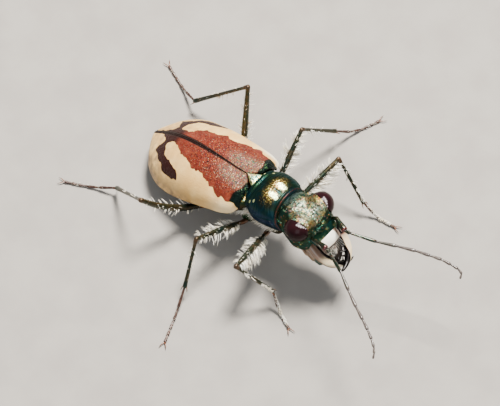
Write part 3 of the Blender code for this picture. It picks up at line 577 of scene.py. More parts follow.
class Finish:
    """A material with one principled shader, and the nodes that feed it."""

    def __init__(self, name, **sockets):
        self.material = bpy.data.materials.new(name)
        self.material.use_nodes = True
        self.tree = self.material.node_tree
        self.shader = self.tree.nodes["Principled BSDF"]
        self.place = self.node("ShaderNodeTexCoord", output="Object")
        for key, value in sockets.items():
            self.set(key.replace("_", " "), value)

    def node(self, kind, inputs=None, output=0, **settings):
        """Add a node: its settings first, then the values or links of its sockets."""
        node = self.tree.nodes.new(kind)
        for key, value in settings.items():
            setattr(node, key, value)
        for key, value in (inputs or {}).items():
            self.feed(node.inputs[key], value)
        return Value(self, node.outputs[output])

    def feed(self, socket, value):
        """Link a value to a socket, or set a plain number or colour on it."""
        if isinstance(value, Value):
            self.tree.links.new(value.socket, socket)
        elif isinstance(value, tuple) and len(value) == 3 and len(socket.default_value) == 4:
            socket.default_value = (*value, 1.0)
        else:
            socket.default_value = value

    def set(self, name, value):
        """Feed one socket of the shader."""
        self.feed(self.shader.inputs[name], value)

    def noise(self, cell, detail=2.0, rough=0.5, output="Fac", stretch=None):
        """Noise whose features are about one cell, in millimetres, wide."""
        return self.node("ShaderNodeTexNoise", {"Vector": self.spot(stretch), "Scale": 1.0 / (cell * MM),
                                                "Detail": detail, "Roughness": rough}, output)

    def cells(self, cell, output="Distance", feature="F1", stretch=None):
        """Voronoi cells about one cell, in millimetres, wide."""
        return self.node("ShaderNodeTexVoronoi", {"Vector": self.spot(stretch), "Scale": 1.0 / (cell * MM)},
                         output, feature=feature)

    def spot(self, stretch):
        """Object coordinates, stretched where a pattern is longer one way."""
        if stretch is None:
            return self.place
        return self.node("ShaderNodeMapping", {"Vector": self.place, "Scale": stretch})

    def value_of(self, name):
        """A value that the mesh holds at its points."""
        return self.node("ShaderNodeAttribute", output="Fac", attribute_name=name)

    def height(self):
        """Upward part of the surface's normal."""
        normal = self.node("ShaderNodeNewGeometry", output="Normal")
        return self.node("ShaderNodeSeparateXYZ", {0: normal}, output="Z")

    def mix(self, share, first, second):
        """Mix two colours by a share."""
        return self.node("ShaderNodeMix", {0: share, 6: first, 7: second}, output=2, data_type="RGBA")

    def ramp(self, share, stops):
        """Steps of colour, each from its own place on; a grain takes one of them."""
        node = self.tree.nodes.new("ShaderNodeValToRGB")
        node.color_ramp.interpolation = "CONSTANT"
        while len(node.color_ramp.elements) < len(stops):
            node.color_ramp.elements.new(0.5)
        for element, (place, colour) in zip(node.color_ramp.elements, stops):
            element.position = place
            element.color = (*colour, 1.0)
        self.feed(node.inputs[0], share)
        return Value(self, node.outputs[0])

    def relief(self, height, depth):
        """Bump of a height field, in millimetres, into the shader's normal."""
        self.set("Normal", self.node("ShaderNodeBump", {"Height": height, "Distance": depth * MM,
                                                        "Strength": 1.0}, output="Normal"))


# Colours of the finishes, as linear red, green and blue

TEAL = (0.006, 0.042, 0.038)
DEEP_GREEN = (0.012, 0.042, 0.016)
DEEP_BLUE = (0.008, 0.016, 0.046)
GOLD = (0.55, 0.36, 0.11)
COPPER = (0.36, 0.10, 0.035)
ROSE = (0.40, 0.16, 0.15)
PALE_GREEN = (0.22, 0.40, 0.22)
BRICK = (0.124, 0.018, 0.0095)
BRICK_LIGHT = (0.198, 0.038, 0.019)
HOOK_BROWN = (0.021, 0.0052, 0.0040)
SEAM_DARK = (0.012, 0.0042, 0.0030)
IVORY = (0.74, 0.44, 0.14)
IVORY_PALE = (0.90, 0.60, 0.23)
# Tan ivory, also standing for painted shade on the wing covers
IVORY_TAN_SHADE = (0.28, 0.165, 0.080)
LIP_WHITE = (0.96, 0.92, 0.78)
PLUM = (0.012, 0.0040, 0.0050)
JAW_BROWN = (0.085, 0.028, 0.018)
BLACK = (0.004, 0.003, 0.003)
BRISTLE = (0.96, 0.94, 0.86)
EDGE_TINT = (0.40, 0.48, 0.46)


def metal_finish(name, dark, lights, cell, share, roughness=0.32, depth=0.012, stretch=None):
    """Metallic cuticle: a dark ground with grains of lighter hues, shown only where it faces up as a painted sheen
    from the light above.
    """
    finish = Finish(name, Metallic=0.92, Coat_Weight=0.10, Coat_Roughness=0.2, Specular_Tint=EDGE_TINT)
    grain = finish.cells(cell, output="Color", stretch=stretch)
    split = finish.node("ShaderNodeSeparateColor", {0: grain}, output=0)
    patch = finish.noise(cell * 5.0, detail=3.0)
    steps = [(number / len(lights), light) for number, light in enumerate(lights)]
    hues = finish.ramp(split, steps)
    # Painted sheen: the lighter grains appear only on faces turned up towards the light
    upward = finish.height().step(0.35, 0.95)
    ground = finish.mix(finish.noise(cell * 9.0).step(0.38, 0.62), dark[0], dark[1])
    amount = upward * patch.step(0.62 - share * 0.5, 0.86 - share * 0.5)
    finish.set("Base Color", finish.mix(amount, ground, hues))
    finish.set("Roughness", roughness + 0.16 * finish.noise(cell * 0.7))
    finish.relief(finish.cells(cell * 0.8, stretch=stretch) + 0.5 * finish.noise(cell * 0.5), depth)
    return finish


def pronotum_finish():
    """Teal and blue sides, copper and gold disc, copper rim at the front; pale gold patches and spots of painted
    highlight.
    """
    finish = Finish("pronotum_metal", Metallic=0.95, Coat_Weight=0.12, Coat_Roughness=0.15, Specular_Tint=EDGE_TINT)
    disc = finish.value_of("disc")
    rim = finish.value_of("rim")
    grain = finish.cells(0.07, output="Color")
    pick = finish.node("ShaderNodeSeparateColor", {0: grain}, output=0)
    warm = finish.ramp(pick, ((0.0, (0.09, 0.038, 0.013)), (0.28, (0.25, 0.17, 0.04)), (0.50, (0.03, 0.045, 0.014)),
                              (0.68, (0.50, 0.40, 0.12)), (0.84, (0.14, 0.08, 0.02))))
    low = finish.height().step(0.75, 0.15)
    cool = finish.mix(finish.noise(0.9, detail=2.0).step(0.35, 0.65), (0.012, 0.036, 0.018), (0.005, 0.033, 0.041))
    cool = finish.mix(low * finish.noise(1.3).step(0.35, 0.65), cool, DEEP_BLUE)
    olive = disc.step(0.02, 0.28) * finish.noise(0.35, detail=3.0).step(0.35, 0.60)
    cool = finish.mix(0.75 * olive, cool, (0.024, 0.020, 0.007))
    amount = (disc + 0.9 * (finish.noise(0.09, detail=3.0) - 0.5)).step(0.30, 0.62)
    colour = finish.mix(amount, cool, warm)
    # Painted highlight: pale gold and green where the gleam mask is high
    gleam = (finish.value_of("gleam") + 1.1 * (finish.noise(0.11, detail=4.0) - 0.5)).step(0.42, 0.60)
    colour = finish.mix(gleam, colour, finish.mix(pick.step(0.3, 0.7), (0.70, 0.72, 0.36), (0.44, 0.58, 0.28)))
    finish.set("Base Color", finish.mix(rim * finish.noise(0.10).step(0.38, 0.58), colour, (0.12, 0.026, 0.018)))
    finish.set("Roughness", 0.24 + 0.2 * finish.noise(0.06))
    finish.relief(finish.noise(0.09, detail=3.0) + 0.6 * finish.cells(0.08), 0.016)
    return finish


def head_finish():
    """Dark teal back and front, fine lengthwise lines of gold, rose and green between the eyes, and pale spots of
    painted highlight.
    """
    finish = Finish("head_metal", Metallic=0.93, Coat_Weight=0.12, Coat_Roughness=0.15, Specular_Tint=EDGE_TINT)
    crown = finish.value_of("crown")
    lines = finish.noise(0.05, detail=3.0, stretch=(1.0, 0.35, 0.7))
    grain = finish.cells(0.095, output="Color", stretch=(1.0, 0.75, 1.0))
    pick = finish.node("ShaderNodeSeparateColor", {0: grain}, output=0)
    other = finish.node("ShaderNodeSeparateColor", {0: grain}, output=1)
    warm = finish.ramp(pick, ((0.0, COPPER), (0.14, ROSE), (0.30, GOLD), (0.48, PALE_GREEN),
                              (0.66, (0.05, 0.24, 0.20)), (0.80, (0.30, 0.30, 0.26)), (0.92, (0.02, 0.05, 0.05))))
    tint = finish.mix(finish.noise(0.38, detail=3.0).step(0.40, 0.52), (0.36, 0.18, 0.11), (0.40, 0.40, 0.10))
    tint = finish.mix(finish.noise(0.46, detail=3.0).step(0.49, 0.57), tint, (0.17, 0.44, 0.28))
    light = finish.mix(0.34, warm, tint)
    light = finish.mix(finish.value_of("rear"), light, finish.mix(other.step(0.3, 0.7), (0.092, 0.180, 0.150), (0.190, 0.255, 0.230)))
    # Painted highlight: pale silvery spots where the shine mask is high
    light = finish.mix(0.34 * finish.value_of("shine"), light, (0.80, 0.84, 0.66))
    light = finish.mix(finish.noise(0.15, detail=3.0).step(0.50, 0.60) * 0.9, light, (0.020, 0.050, 0.040))
    flame = finish.mix(finish.noise(0.24, detail=3.0).step(0.44, 0.56), (0.46, 0.11, 0.02), (0.36, 0.26, 0.05))
    light = finish.mix(finish.value_of("fire") * finish.noise(0.2).step(0.25, 0.5), light, flame)
    cool = finish.mix(finish.noise(0.5, detail=3.0).step(0.42, 0.6), (0.010, 0.038, 0.027), (0.022, 0.035, 0.013))
    cool = finish.mix(other.step(0.80, 0.84) * finish.noise(0.4).step(0.46, 0.58), cool, warm)
    amount = (crown + 1.0 * (finish.noise(0.13, detail=3.0) - 0.5)).step(0.34, 0.66)
    finish.set("Base Color", finish.mix(amount * (0.50 + 0.50 * other), cool, light))
    finish.set("Roughness", 0.24 + 0.22 * lines)
    finish.relief(lines + 0.9 * finish.cells(0.10), 0.03)
    return finish


def wing_finish():
    """Ivory and brick wing cover: the edge follows the marking's distance, roughened by scallops. The ivory takes a
    tan with painted shade towards the rear and outer margin, and a painted highlight at the front.
    """
    finish = Finish("wing_cover_shell", Coat_Roughness=0.30, Specular_IOR_Level=0.16)
    marking = finish.value_of("marking")
    seam = finish.value_of("seam")
    base = finish.value_of("base")
    hook = finish.value_of("hook")
    scallop = finish.cells(0.42, feature="SMOOTH_F1") * 0.32 + finish.noise(0.12, detail=3.0) * 0.10
    inside = (marking + scallop - 0.192).step(-0.012, 0.012)
    grain = finish.cells(0.064, output="Color")
    parts = finish.node("ShaderNodeSeparateColor", {0: grain}, output=0)
    other = finish.node("ShaderNodeSeparateColor", {0: grain}, output=1)
    bloom = finish.value_of("bloom")
    cold = finish.ramp(parts, ((0.0, (0.22, 0.05, 0.025)), (0.18, (0.05, 0.10, 0.06)), (0.36, (0.27, 0.14, 0.06)),
                               (0.54, (0.15, 0.05, 0.07)), (0.70, (0.03, 0.04, 0.045)), (0.84, (0.36, 0.26, 0.16))))
    glow = finish.ramp(parts, ((0.0, (0.22, 0.030, 0.010)), (0.26, (0.02, 0.008, 0.008)), (0.46, (0.15, 0.016, 0.012)),
                               (0.68, (0.32, 0.085, 0.020)), (0.78, (0.03, 0.016, 0.02)), (0.93, (0.30, 0.19, 0.11))))
    hues = finish.mix(bloom.step(0.05, 0.50), glow, cold)
    brick = finish.mix(finish.noise(0.5, detail=4.0).step(0.35, 0.68), BRICK, BRICK_LIGHT)
    brick = finish.mix(0.65 * bloom, brick, (0.150, 0.098, 0.064))
    sheen = finish.value_of("sheen")
    amount = (sheen + 0.4 * (finish.noise(0.6, detail=3.0) - 0.5)).step(0.0, 0.95)
    disc = finish.mix(amount * (0.20 + 0.80 * other.step(0.25, 0.6)), brick, hues)
    disc = finish.mix(hook, disc, HOOK_BROWN)
    sparks = finish.noise(0.14, detail=3.0).step(0.54, 0.66) * finish.value_of("gate")
    green = finish.mix(sparks, (0.0035, 0.010, 0.0075), (0.16, 0.34, 0.12))
    disc = finish.mix(base.step(0.30, 0.55), disc, (0.014, 0.0075, 0.004))
    disc = finish.mix(base.step(0.55, 0.80), disc, green)
    disc = finish.mix(seam, disc, SEAM_DARK)
    pale = finish.mix(finish.noise(1.1, detail=4.0).step(0.35, 0.7), IVORY, IVORY_PALE)
    # Tan with painted shade: darker ivory where the tan mask is high
    pale = finish.mix(finish.value_of("tan") * finish.noise(0.5, detail=3.0).step(0.25, 0.75), pale, IVORY_TAN_SHADE)
    # Painted highlight: pale front of the outer slope
    pale = finish.mix(finish.value_of("front"), pale, (0.98, 0.92, 0.72))
    finish.set("Base Color", finish.mix(inside, pale, disc))
    finish.set("Metallic", inside * (0.10 + 0.45 * amount * other + 0.45 * base) * (1.0 - hook) * (1.0 - seam))
    finish.set("Coat Weight", 0.12 * (1.0 - inside))
    finish.set("Roughness", 0.40 - 0.06 * inside + 0.1 * finish.noise(0.2))
    pits = finish.cells(0.13).step(0.0, 0.55)
    finish.relief(pits * (0.35 + 0.65 * inside) + 0.35 * finish.noise(0.06, detail=2.0), 0.022)
    return finish


def eye_finish():
    """Glossy plum-brown eye with a fine net of facets, and a painted highlight along its inner front edge."""
    finish = Finish("eye_gloss", Roughness=0.14, IOR=1.19)
    shade = finish.mix(finish.noise(0.45, detail=3.0).step(0.35, 0.7), PLUM, (0.017, 0.0045, 0.0060))
    # Painted highlight: the glint mask turns the eye's colour pale
    glint = (finish.value_of("glint") + 0.9 * (finish.noise(0.07, detail=4.0) - 0.5)).step(0.30, 1.0)
    finish.set("Base Color", finish.mix(glint, shade, (0.50, 0.44, 0.45)))
    finish.relief(finish.cells(0.035), 0.0016)
    return finish


def lip_finish():
    """Ivory lip with a thin dark rim: brown on its side and underside, black at the front edge as a painted shadow of
    the gap before the mouth.
    """
    finish = Finish("lip_ivory", Roughness=0.30, Coat_Weight=0.35, Coat_Roughness=0.15)
    rim = finish.value_of("rim")
    pale = finish.mix(finish.noise(0.4, detail=3.0).step(0.3, 0.75), LIP_WHITE, (0.84, 0.78, 0.64))
    colour = finish.mix(rim.step(0.12, 0.36), pale, (0.20, 0.115, 0.070))
    # Painted shadow: near-black at the front edge of the lip
    finish.set("Base Color", finish.mix(rim.step(0.55, 0.85), colour, (0.012, 0.006, 0.004)))
    finish.relief(finish.noise(0.12, detail=3.0), 0.006)
    return finish


def jaw_finish():
    """Ivory jaw with brown edges, black towards the tip and on the teeth, and painted shade at its root."""
    finish = Finish("jaw_ivory", Coat_Roughness=0.12)
    dark = finish.value_of("dark")
    wobble = 0.18 * (finish.noise(0.2, detail=3.0) - 0.5)
    black = (dark + wobble).step(0.50, 0.80)
    finish.set("Metallic", 0.94 * black)
    finish.set("Roughness", 0.26 + 0.10 * black)
    finish.set("Coat Weight", 0.4 - 0.25 * black)
    pale = finish.mix(finish.noise(0.5, detail=3.0).step(0.3, 0.75), (0.80, 0.68, 0.44), (0.62, 0.46, 0.26))
    # Painted shade: grey brown at the root of each jaw
    pale = finish.mix(finish.value_of("tan"), pale, (0.24, 0.14, 0.09))
    colour = finish.mix((dark + wobble).step(0.30, 0.50), pale, JAW_BROWN)
    finish.set("Base Color", finish.mix(black, colour, BLACK))
    finish.relief(finish.noise(0.10, detail=3.0, stretch=(1.0, 0.4, 0.4)), 0.008)
    return finish


def feeler_finish():
    """Feeler: shiny green and copper near the head, dull grey brown beyond, dark at each joint."""
    finish = Finish("feeler_shell", Coat_Weight=0.5, Coat_Roughness=0.10)
    along = finish.value_of("segment")
    joint = finish.value_of("joint")
    bright = finish.mix(finish.noise(0.16, detail=3.0).step(0.45, 0.7), (0.008, 0.024, 0.011), (0.07, 0.035, 0.018))
    bright = finish.mix(0.6 * finish.value_of("blush"), bright, (0.20, 0.020, 0.026))
    dull = finish.mix(finish.noise(0.10, detail=3.0).step(0.3, 0.7), (0.040, 0.027, 0.025), (0.11, 0.085, 0.068))
    outer = along.step(3.6, 4.4)
    colour = finish.mix(outer, bright, dull)
    finish.set("Base Color", finish.mix(joint, colour, (0.020, 0.012, 0.011)))
    finish.set("Metallic", 0.75 * (1.0 - outer))
    finish.set("Roughness", 0.26 + 0.3 * outer)
    finish.relief(finish.noise(0.05, detail=3.0), 0.01)
    return finish


def leg_finish():
    """Thigh and shin: dark metallic green and copper, with bristle pits in the relief."""
    finish = Finish("leg_metal", Coat_Weight=0.3, Coat_Roughness=0.14)
    warm = finish.value_of("warm")
    green = finish.mix(finish.noise(0.35, detail=3.0).step(0.40, 0.62), (0.020, 0.027, 0.012), (0.056, 0.041, 0.019))
    green = finish.mix(finish.noise(0.8).step(0.45, 0.75), green, (0.010, 0.024, 0.018))
    finish.set("Base Color", finish.mix(warm, green, (0.24, 0.060, 0.018)))
    finish.set("Metallic", 0.85 - 0.45 * warm)
    finish.set("Roughness", 0.28 + 0.2 * finish.noise(0.1))
    finish.relief(finish.cells(0.07) + 0.5 * finish.noise(0.05), 0.012)
    return finish


def foot_finish():
    """Foot: dark reddish brown with a faint copper gloss, darker at its joints."""
    finish = Finish("foot_shell", Coat_Weight=0.25, Coat_Roughness=0.2)
    joint = finish.value_of("joint")
    brown = finish.mix(finish.noise(0.25, detail=3.0).step(0.35, 0.7), (0.040, 0.016, 0.011), (0.085, 0.040, 0.026))
    finish.set("Base Color", finish.mix(joint, brown, (0.010, 0.006, 0.005)))
    finish.set("Metallic", 0.35)
    finish.set("Roughness", 0.34 + 0.15 * finish.noise(0.1))
    finish.relief(finish.noise(0.05, detail=3.0), 0.01)
    return finish


def claw_finish():
    """Claws and spurs: glossy red brown with darker tips."""
    finish = Finish("claw_horn", Roughness=0.25, Coat_Weight=0.3, Coat_Roughness=0.12)
    tip = finish.value_of("along")
    brown = finish.mix(finish.noise(0.15).step(0.3, 0.7), (0.16, 0.055, 0.026), (0.24, 0.10, 0.05))
    finish.set("Base Color", finish.mix(tip.step(0.45, 0.95), brown, (0.05, 0.02, 0.012)))
    return finish


def palp_finish():
    """Palps: pale amber with dark metallic ends."""
    finish = Finish("palp_shell", Roughness=0.30, Coat_Weight=0.3, Coat_Roughness=0.15)
    along = finish.value_of("along")
    pale = finish.mix(finish.noise(0.3, detail=3.0).step(0.3, 0.7), (0.34, 0.22, 0.13), (0.22, 0.13, 0.08))
    finish.set("Base Color", finish.mix(along.step(0.70, 0.82), pale, (0.012, 0.040, 0.024)))
    finish.relief(finish.noise(0.07, detail=3.0), 0.008)
    return finish


def mouth_finish():
    """Lobes between the jaws: pale with brown folds."""
    finish = Finish("mouth_pale", Roughness=0.34, Coat_Weight=0.3, Coat_Roughness=0.15)
    finish.set("Base Color", finish.mix(finish.noise(0.22, detail=3.0).step(0.42, 0.62), (0.92, 0.80, 0.66),
                                        (0.22, 0.12, 0.08)))
    finish.relief(finish.noise(0.09, detail=3.0), 0.012)
    return finish


def bristle_finish():
    """White bristles, a little warmer in places."""
    finish = Finish("white_bristle", Roughness=0.42, Specular_IOR_Level=0.45)
    finish.set("Base Color", finish.mix(finish.noise(0.6, detail=2.0).step(0.3, 0.7), BRISTLE, (0.86, 0.78, 0.62)))
    return finish


# Head

def ring(half_width, top, bottom, belt, sides, power=BODY_POWER):
    """Section of the body: a superellipse with its own height above and below the belt."""
    angle = 2 * math.pi * np.arange(sides) / sides
    across, upright = np.cos(angle), np.sin(angle)
    x = half_width * np.sign(across) * np.abs(across) ** (2 / power)
    reach = np.where(upright >= 0, top - belt, belt - bottom)
    return x, belt + reach * np.sign(upright) * np.abs(upright) ** (2 / power)


def trunk(stations, rows, sides):
    """Grid of body-frame points lofted through sections that may lean."""
    table = smooth_rows(stations, rows)
    grid = np.zeros((rows, sides, 3))
    for row, (t, half_width, top, bottom, belt, *lean) in enumerate(table):
        x, z = ring(half_width, top, bottom, belt, sides)
        grid[row] = np.stack([x, t + sum(lean) * (z - top), z], -1)
    return grid


def outward_normals(grid):
    """Grid normals turned away from the middle line of the grid."""
    normal = grid_normals(grid, True)
    away = grid - grid.mean(axis=1, keepdims=True)
    sign = np.sign(np.sum(normal * away, axis=(1, 2), keepdims=True))
    return normal * np.where(sign == 0, 1.0, sign)


def eye_frame(side):
    """Centre and three half axes of an eye: bulge, length and height."""
    axis = unit(mirrored(EYE_AXIS, side))
    along = np.array([0.0, 1.0, 0.0])
    along = unit(along - axis * np.dot(along, axis))
    upward = np.cross(axis, along) * SIDES[side]
    return (mirrored(EYE_CENTRE, side), axis * EYE_BULGE, along * EYE_HALF_LENGTH,
            upward * EYE_HALF_HEIGHT)


def make_head(finish):
    """Head capsule with raised rims round the eyes, a groove before the lip and fine lines."""
    grid = trunk(HEAD_STATIONS, 190, 240)
    x, t, z = np.moveaxis(grid, -1, 0)
    lid = -0.78 + 0.86 * np.sqrt(np.clip(1 - ((t - EYE_CENTRE[1]) / (EYE_HALF_LENGTH + 0.06)) ** 2, 0, 1))
    line = 1.17 - 0.20 * (t - EYE_CENTRE[1])
    beside = ease(np.abs(x) - line, -0.95, -0.22) * ease(line - np.abs(x), -0.13, 0.0)
    grid[..., 2] += np.maximum(lid - z, 0.0) * beside * ease(z, -1.9, -1.3)
    normal = outward_normals(grid)
    x, t, z = np.moveaxis(grid, -1, 0)
    top = ease(z, -1.5, -0.6)
    change = -0.10 * top * bump(x, 0.0, 0.42) * bump(t, 5.0, 0.7)
    change += 0.16 * bump(t, 5.70, 0.60) * bump(z, -2.25, 0.50) * ease(np.abs(x), 0.6, 1.2)
    for side in SIDES:
        centre, bulge, length, height = eye_frame(side)
        away = grid - centre
        depth = sum((away @ axis / np.dot(axis, axis)) ** 2 for axis in (bulge, length, height)) ** 0.5
        change += 0.03 * bump(depth, 1.10, 0.08) - 0.04 * bump(depth, 1.34, 0.09)
    wave = np.sin(x * 38.0 + 2.2 * np.sin(t * 2.3) * x + 0.8 * np.sin(t * 5.0)) * (1 + 0.5 * np.sin(t * 21.0))
    change += 0.005 * wave * top * ease(t, 4.2, 4.7) * ease(-t, -6.0, -5.5)
    change -= 0.05 * bump(t + 0.10 * x * x, 6.16, 0.05) * ease(np.abs(x), 1.3, 0.9)
    grid = grid + normal * change[..., None]
    crown = top * ease(t, 3.3, 4.1) * ease(-t, -6.25, -5.90) * ease(0.25 + 0.8 * (t - 3.5) - np.abs(x), -0.25, 0.25)
    # Painted highlight: the shine mask marks pale spots between and behind the eyes
    shine = sum(bump(x, side * 0.50, 0.34) * bump(t, 5.58, 0.32) for side in (-1, 1))
    shine = shine + bump(x, -0.05, 0.50) * bump(t, 4.54, 0.36)
    fire = bump(x, 1.04, 0.26) * bump(t, 5.38, 0.42) + 0.8 * bump(x, -0.55, 0.34) * bump(t, 5.92, 0.18)
    crown = crown * (1 - 0.75 * bump(x, 0.92, 0.15) * bump(t, 5.72, 0.22)) * (1 - 0.55 * bump(x, 1.10, 0.32) * bump(t, 4.45, 0.45))
    fire = fire + 0.55 * bump(x, 0.98, 0.40) * bump(t, 4.62, 0.40)
    rear = top * ease(t, 3.0, 3.4) * ease(-t, -4.15, -3.70) * ease(0.85 - np.abs(x - 0.35), -0.25, 0.25)
    crown = np.maximum(crown, 0.85 * rear)
    values = {"crown": crown, "shine": shine, "fire": fire, "rear": rear}
    add_piece("head", [closed_tube(stand(grid), values)], finish, ["head"])


def make_clypeus(finish):
    """Short dark plate between the face and the lip."""
    patch = slab((6.14, -1.22), (6.70, -1.90), 0.34,
                 ((0.0, 0.98, 0.9), (0.3, 1.0, 1.0), (0.7, 0.93, 0.95), (1.0, 0.76, 0.6)), 1.14)
    add_piece("clypeus", [patch], finish)


def slab(back, front, thickness, sections, half_width, power=3.2, rows=40, sides=56):
    """Rounded plate from back to front: superellipse sections of tabled width and thickness."""
    back = np.array([0.0, *back])
    front = np.array([0.0, *front])
    along = unit(front - back)
    down = np.array([0.0, along[2], -along[1]])
    table = smooth_rows(sections, rows)
    x, z = ring(1.0, 1.0, -1.0, 0.0, sides, power)
    grid = (back + (front - back) * table[:, :1])[:, None] + down * thickness / 2
    grid = grid + np.array([1.0, 0.0, 0.0]) * (table[:, 1:2] * half_width * x)[..., None]
    grid = grid - down * (table[:, 2:3] * thickness / 2 * z)[..., None]
    return closed_tube(stand(grid), {"rim": ease(table[:, :1], 0.86, 0.98)})


def make_lip(finish, bristles, draw):
    """Upper lip: an ivory plate with a keel, three blunt teeth and a few long bristles."""
    back = np.array([6.60, -1.74])
    front = np.array([7.05, -2.42])
    rows, sides = 60, 72
    share = smooth_rows(((0.0, 0.0), (1.0, 0.0)), rows)[:, :1]
    along = unit(front - back)
    down = np.array([along[1], -along[0]])
    angle = 2 * math.pi * np.arange(sides)[None] / sides
    width = 0.84 * (0.97 + 0.08 * np.sin(math.pi * share * 0.8) - 0.05 * share)
    x = width * np.sign(np.cos(angle)) * np.abs(np.cos(angle)) ** (2 / 3.2)
    teeth = bump(np.abs(x), 0.0, 0.12) + 0.9 * bump(np.abs(x), 0.38, 0.11)
    reach = share * (1.0 - 0.10 * (x / 0.7) ** 2) + 0.10 * teeth * ease(share, 0.80, 1.0)
    thick = 0.30 * (0.35 + 0.65 * np.sin(math.pi * np.clip(0.12 + 0.80 * share, 0, 1)) ** 0.5)
    crown = 0.05 * (1 - (x / 0.75) ** 2) * np.sin(math.pi * share) + 0.03 * bump(x, 0.0, 0.07)
    rise = thick * np.sign(np.sin(angle)) * np.abs(np.sin(angle)) ** (2 / 3.2)
    rise = rise + crown * ease(np.sin(angle), -0.1, 0.4)
    plane = back + (front - back) * reach[..., None] + down * 0.20 - down * rise[..., None]
    grid = np.concatenate([x[..., None], plane], -1)
    # The front edge of the rim mask is a painted shadow; the brown side and underside are the lip's own colour
    rim = np.maximum(0.42 * ease(-np.sin(angle), -0.50, 0.10), ease(share, 0.80, 0.90) + 0 * angle)
    rim = np.maximum(rim, 0.36 * ease(np.cos(angle), 0.38, 0.56))
    add_piece("labrum", [closed_tube(stand(grid), {"rim": rim})], finish, ["labrum"])
    count = 10
    x = np.linspace(-0.52, 0.52, count)
    roots = stand(np.stack([x, np.full(count, 6.98), np.full(count, -2.34)], -1))
    way = unit(stand(np.stack([x * 1.3, np.full(count, 7.60), np.full(count, -2.85)], -1)) - roots)
    places = np.stack([np.linspace(0.1, 0.9, count), np.full(count, 0.5)], -1)
    lengths = 0.55 + 0.2 * draw.random(count)
    patch = tufts(roots, way, lengths, np.full(count, 0.012), np.tile([0, 0, -0.08], (count, 1)), places)
    add_piece("lip_bristles", [patch], bristles)


def make_eyes(finish):
    """Domed eyes: ellipsoids whose back part lies in the head."""
    for side in SIDES:
        centre, bulge, length, height = eye_frame(side)
        polar = np.linspace(0.0, math.pi * 0.47, 60)[1:, None]
        turn = 2 * math.pi * np.arange(96)[None] / 96
        grid = (centre + np.cos(polar)[..., None] * bulge
                + (np.sin(polar) * np.cos(turn))[..., None] * length
                + (np.sin(polar) * np.sin(turn))[..., None] * height)
        # Painted highlight: pale glint mask round the listed places
        away = np.stack([np.linalg.norm(grid - mirrored(spot, side), axis=-1) / size for spot, size in EYE_GLINT])
        glint = np.exp(-away ** 2).max(axis=0)
        add_piece("eye_" + side, [closed_tube(stand(grid), {"glint": glint})], finish,
                  ["eye_" + side])


def bezier(knots, share):
    """Points on a cubic curve through four control points."""
    a, b, c, d = (np.asarray(knot, float) for knot in knots)
    share = np.asarray(share)[..., None]
    rest = 1 - share
    return a * rest ** 3 + 3 * b * rest ** 2 * share + 3 * c * rest * share ** 2 + d * share ** 3


def make_jaw(side, finish):
    """Sickle jaw: broad ivory base, brown outer edge, black inner teeth and tip."""
    hinge = np.array([0.0, *MANDIBLE_ROOT])
    along = np.array([0.0, math.cos(MANDIBLE_SLOPE), math.sin(MANDIBLE_SLOPE)])
    normal = np.array([0.0, -along[2], along[1]])
    across = np.array([SIDES[side], 0.0, 0.0])

    def line(share):
        flat = bezier(MANDIBLE_CURVE[side], share)
        lift = SIDES[side] * MANDIBLE_CROSSING * np.asarray(share)[..., None] ** 2
        return hinge + flat[..., :1] * across + flat[..., 1:] * along + lift * normal

    rows, sides = 110, 40
    share = np.linspace(-0.16, 1.0, rows)
    path = line(share)
    tangent = unit(np.gradient(path, axis=0))
    aside = unit(np.cross(tangent, normal)) * SIDES[side]
    width = np.interp(share, np.linspace(0, 1, len(MANDIBLE_HALF_WIDTHS)), MANDIBLE_HALF_WIDTHS)
    width = width * (1 - 0.97 * ease(share, 0.93, 1.0))
    thick = np.minimum(MANDIBLE_HALF_THICKNESS, width * 0.95)
    angle = 2 * math.pi * np.arange(sides) / sides
    over = np.sign(np.cos(angle)) * np.abs(np.cos(angle)) ** (2 / 2.3)
    rise = np.sign(np.sin(angle)) * np.abs(np.sin(angle)) ** (2 / 2.3)
    grid = (path[:, None] + (width[:, None] * over)[..., None] * aside[:, None]
            + (thick[:, None] * rise * (1 - 0.35 * (over < 0) * np.abs(over)))[..., None] * normal)
    outer = ease(over, 0.72, 0.98)[None] * 0.45
    inner = -0.55 + 1.6 * ease(share, 0.40, 0.84)[:, None]
    dark = np.maximum(ease(share, 0.74, 0.84)[:, None], outer * ease(share, -0.2, 0.3)[:, None])
    dark = np.maximum(dark, ease(inner - over[None], -0.12, 0.22) * ease(share, 0.06, 0.16)[:, None])
    # Painted shade: the left jaw's root is black, standing for the shade beside the scape and the head
    dark = np.maximum(dark, (1.0 if side == "left" else 0.0) * ease(-share, -0.22, -0.10)[:, None])
    # Painted shade: the tan mask darkens the root of each jaw
    patches = [closed_tube(stand(grid), {"dark": dark, "tan": ease(-share, -0.30, -0.14)[:, None]})]
    for place, reach, size in ((0.28, 0.36, 0.15), (0.41, 0.46, 0.17), (0.54, 0.52, 0.16), (0.66, 0.48, 0.14),
                               (0.77, 0.38, 0.12)):
        root = line(place)
        forward = unit(line(place + 0.02) - line(place - 0.02))
        inward = -unit(np.cross(forward, normal)) * SIDES[side]
        s = np.linspace(0.0, 1.0, 16)
        spine = root + inward * (s * (reach + 0.10))[:, None] + forward * (0.16 * s ** 2)[:, None]
        size_at = size * (1 - s) ** 0.8 + 0.004
        ring_at = np.cos(angle[::2])[None, :, None] * forward + 0.8 * np.sin(angle[::2])[None, :, None] * normal
        grid = spine[:, None] + size_at[:, None, None] * ring_at
        patches.append(closed_tube(stand(grid), {"dark": (0.35 + 0.65 * ease(s, 0.1, 0.5))[:, None]}))
    name = "mandible_" + side
    add_piece(name, patches, finish, [name])


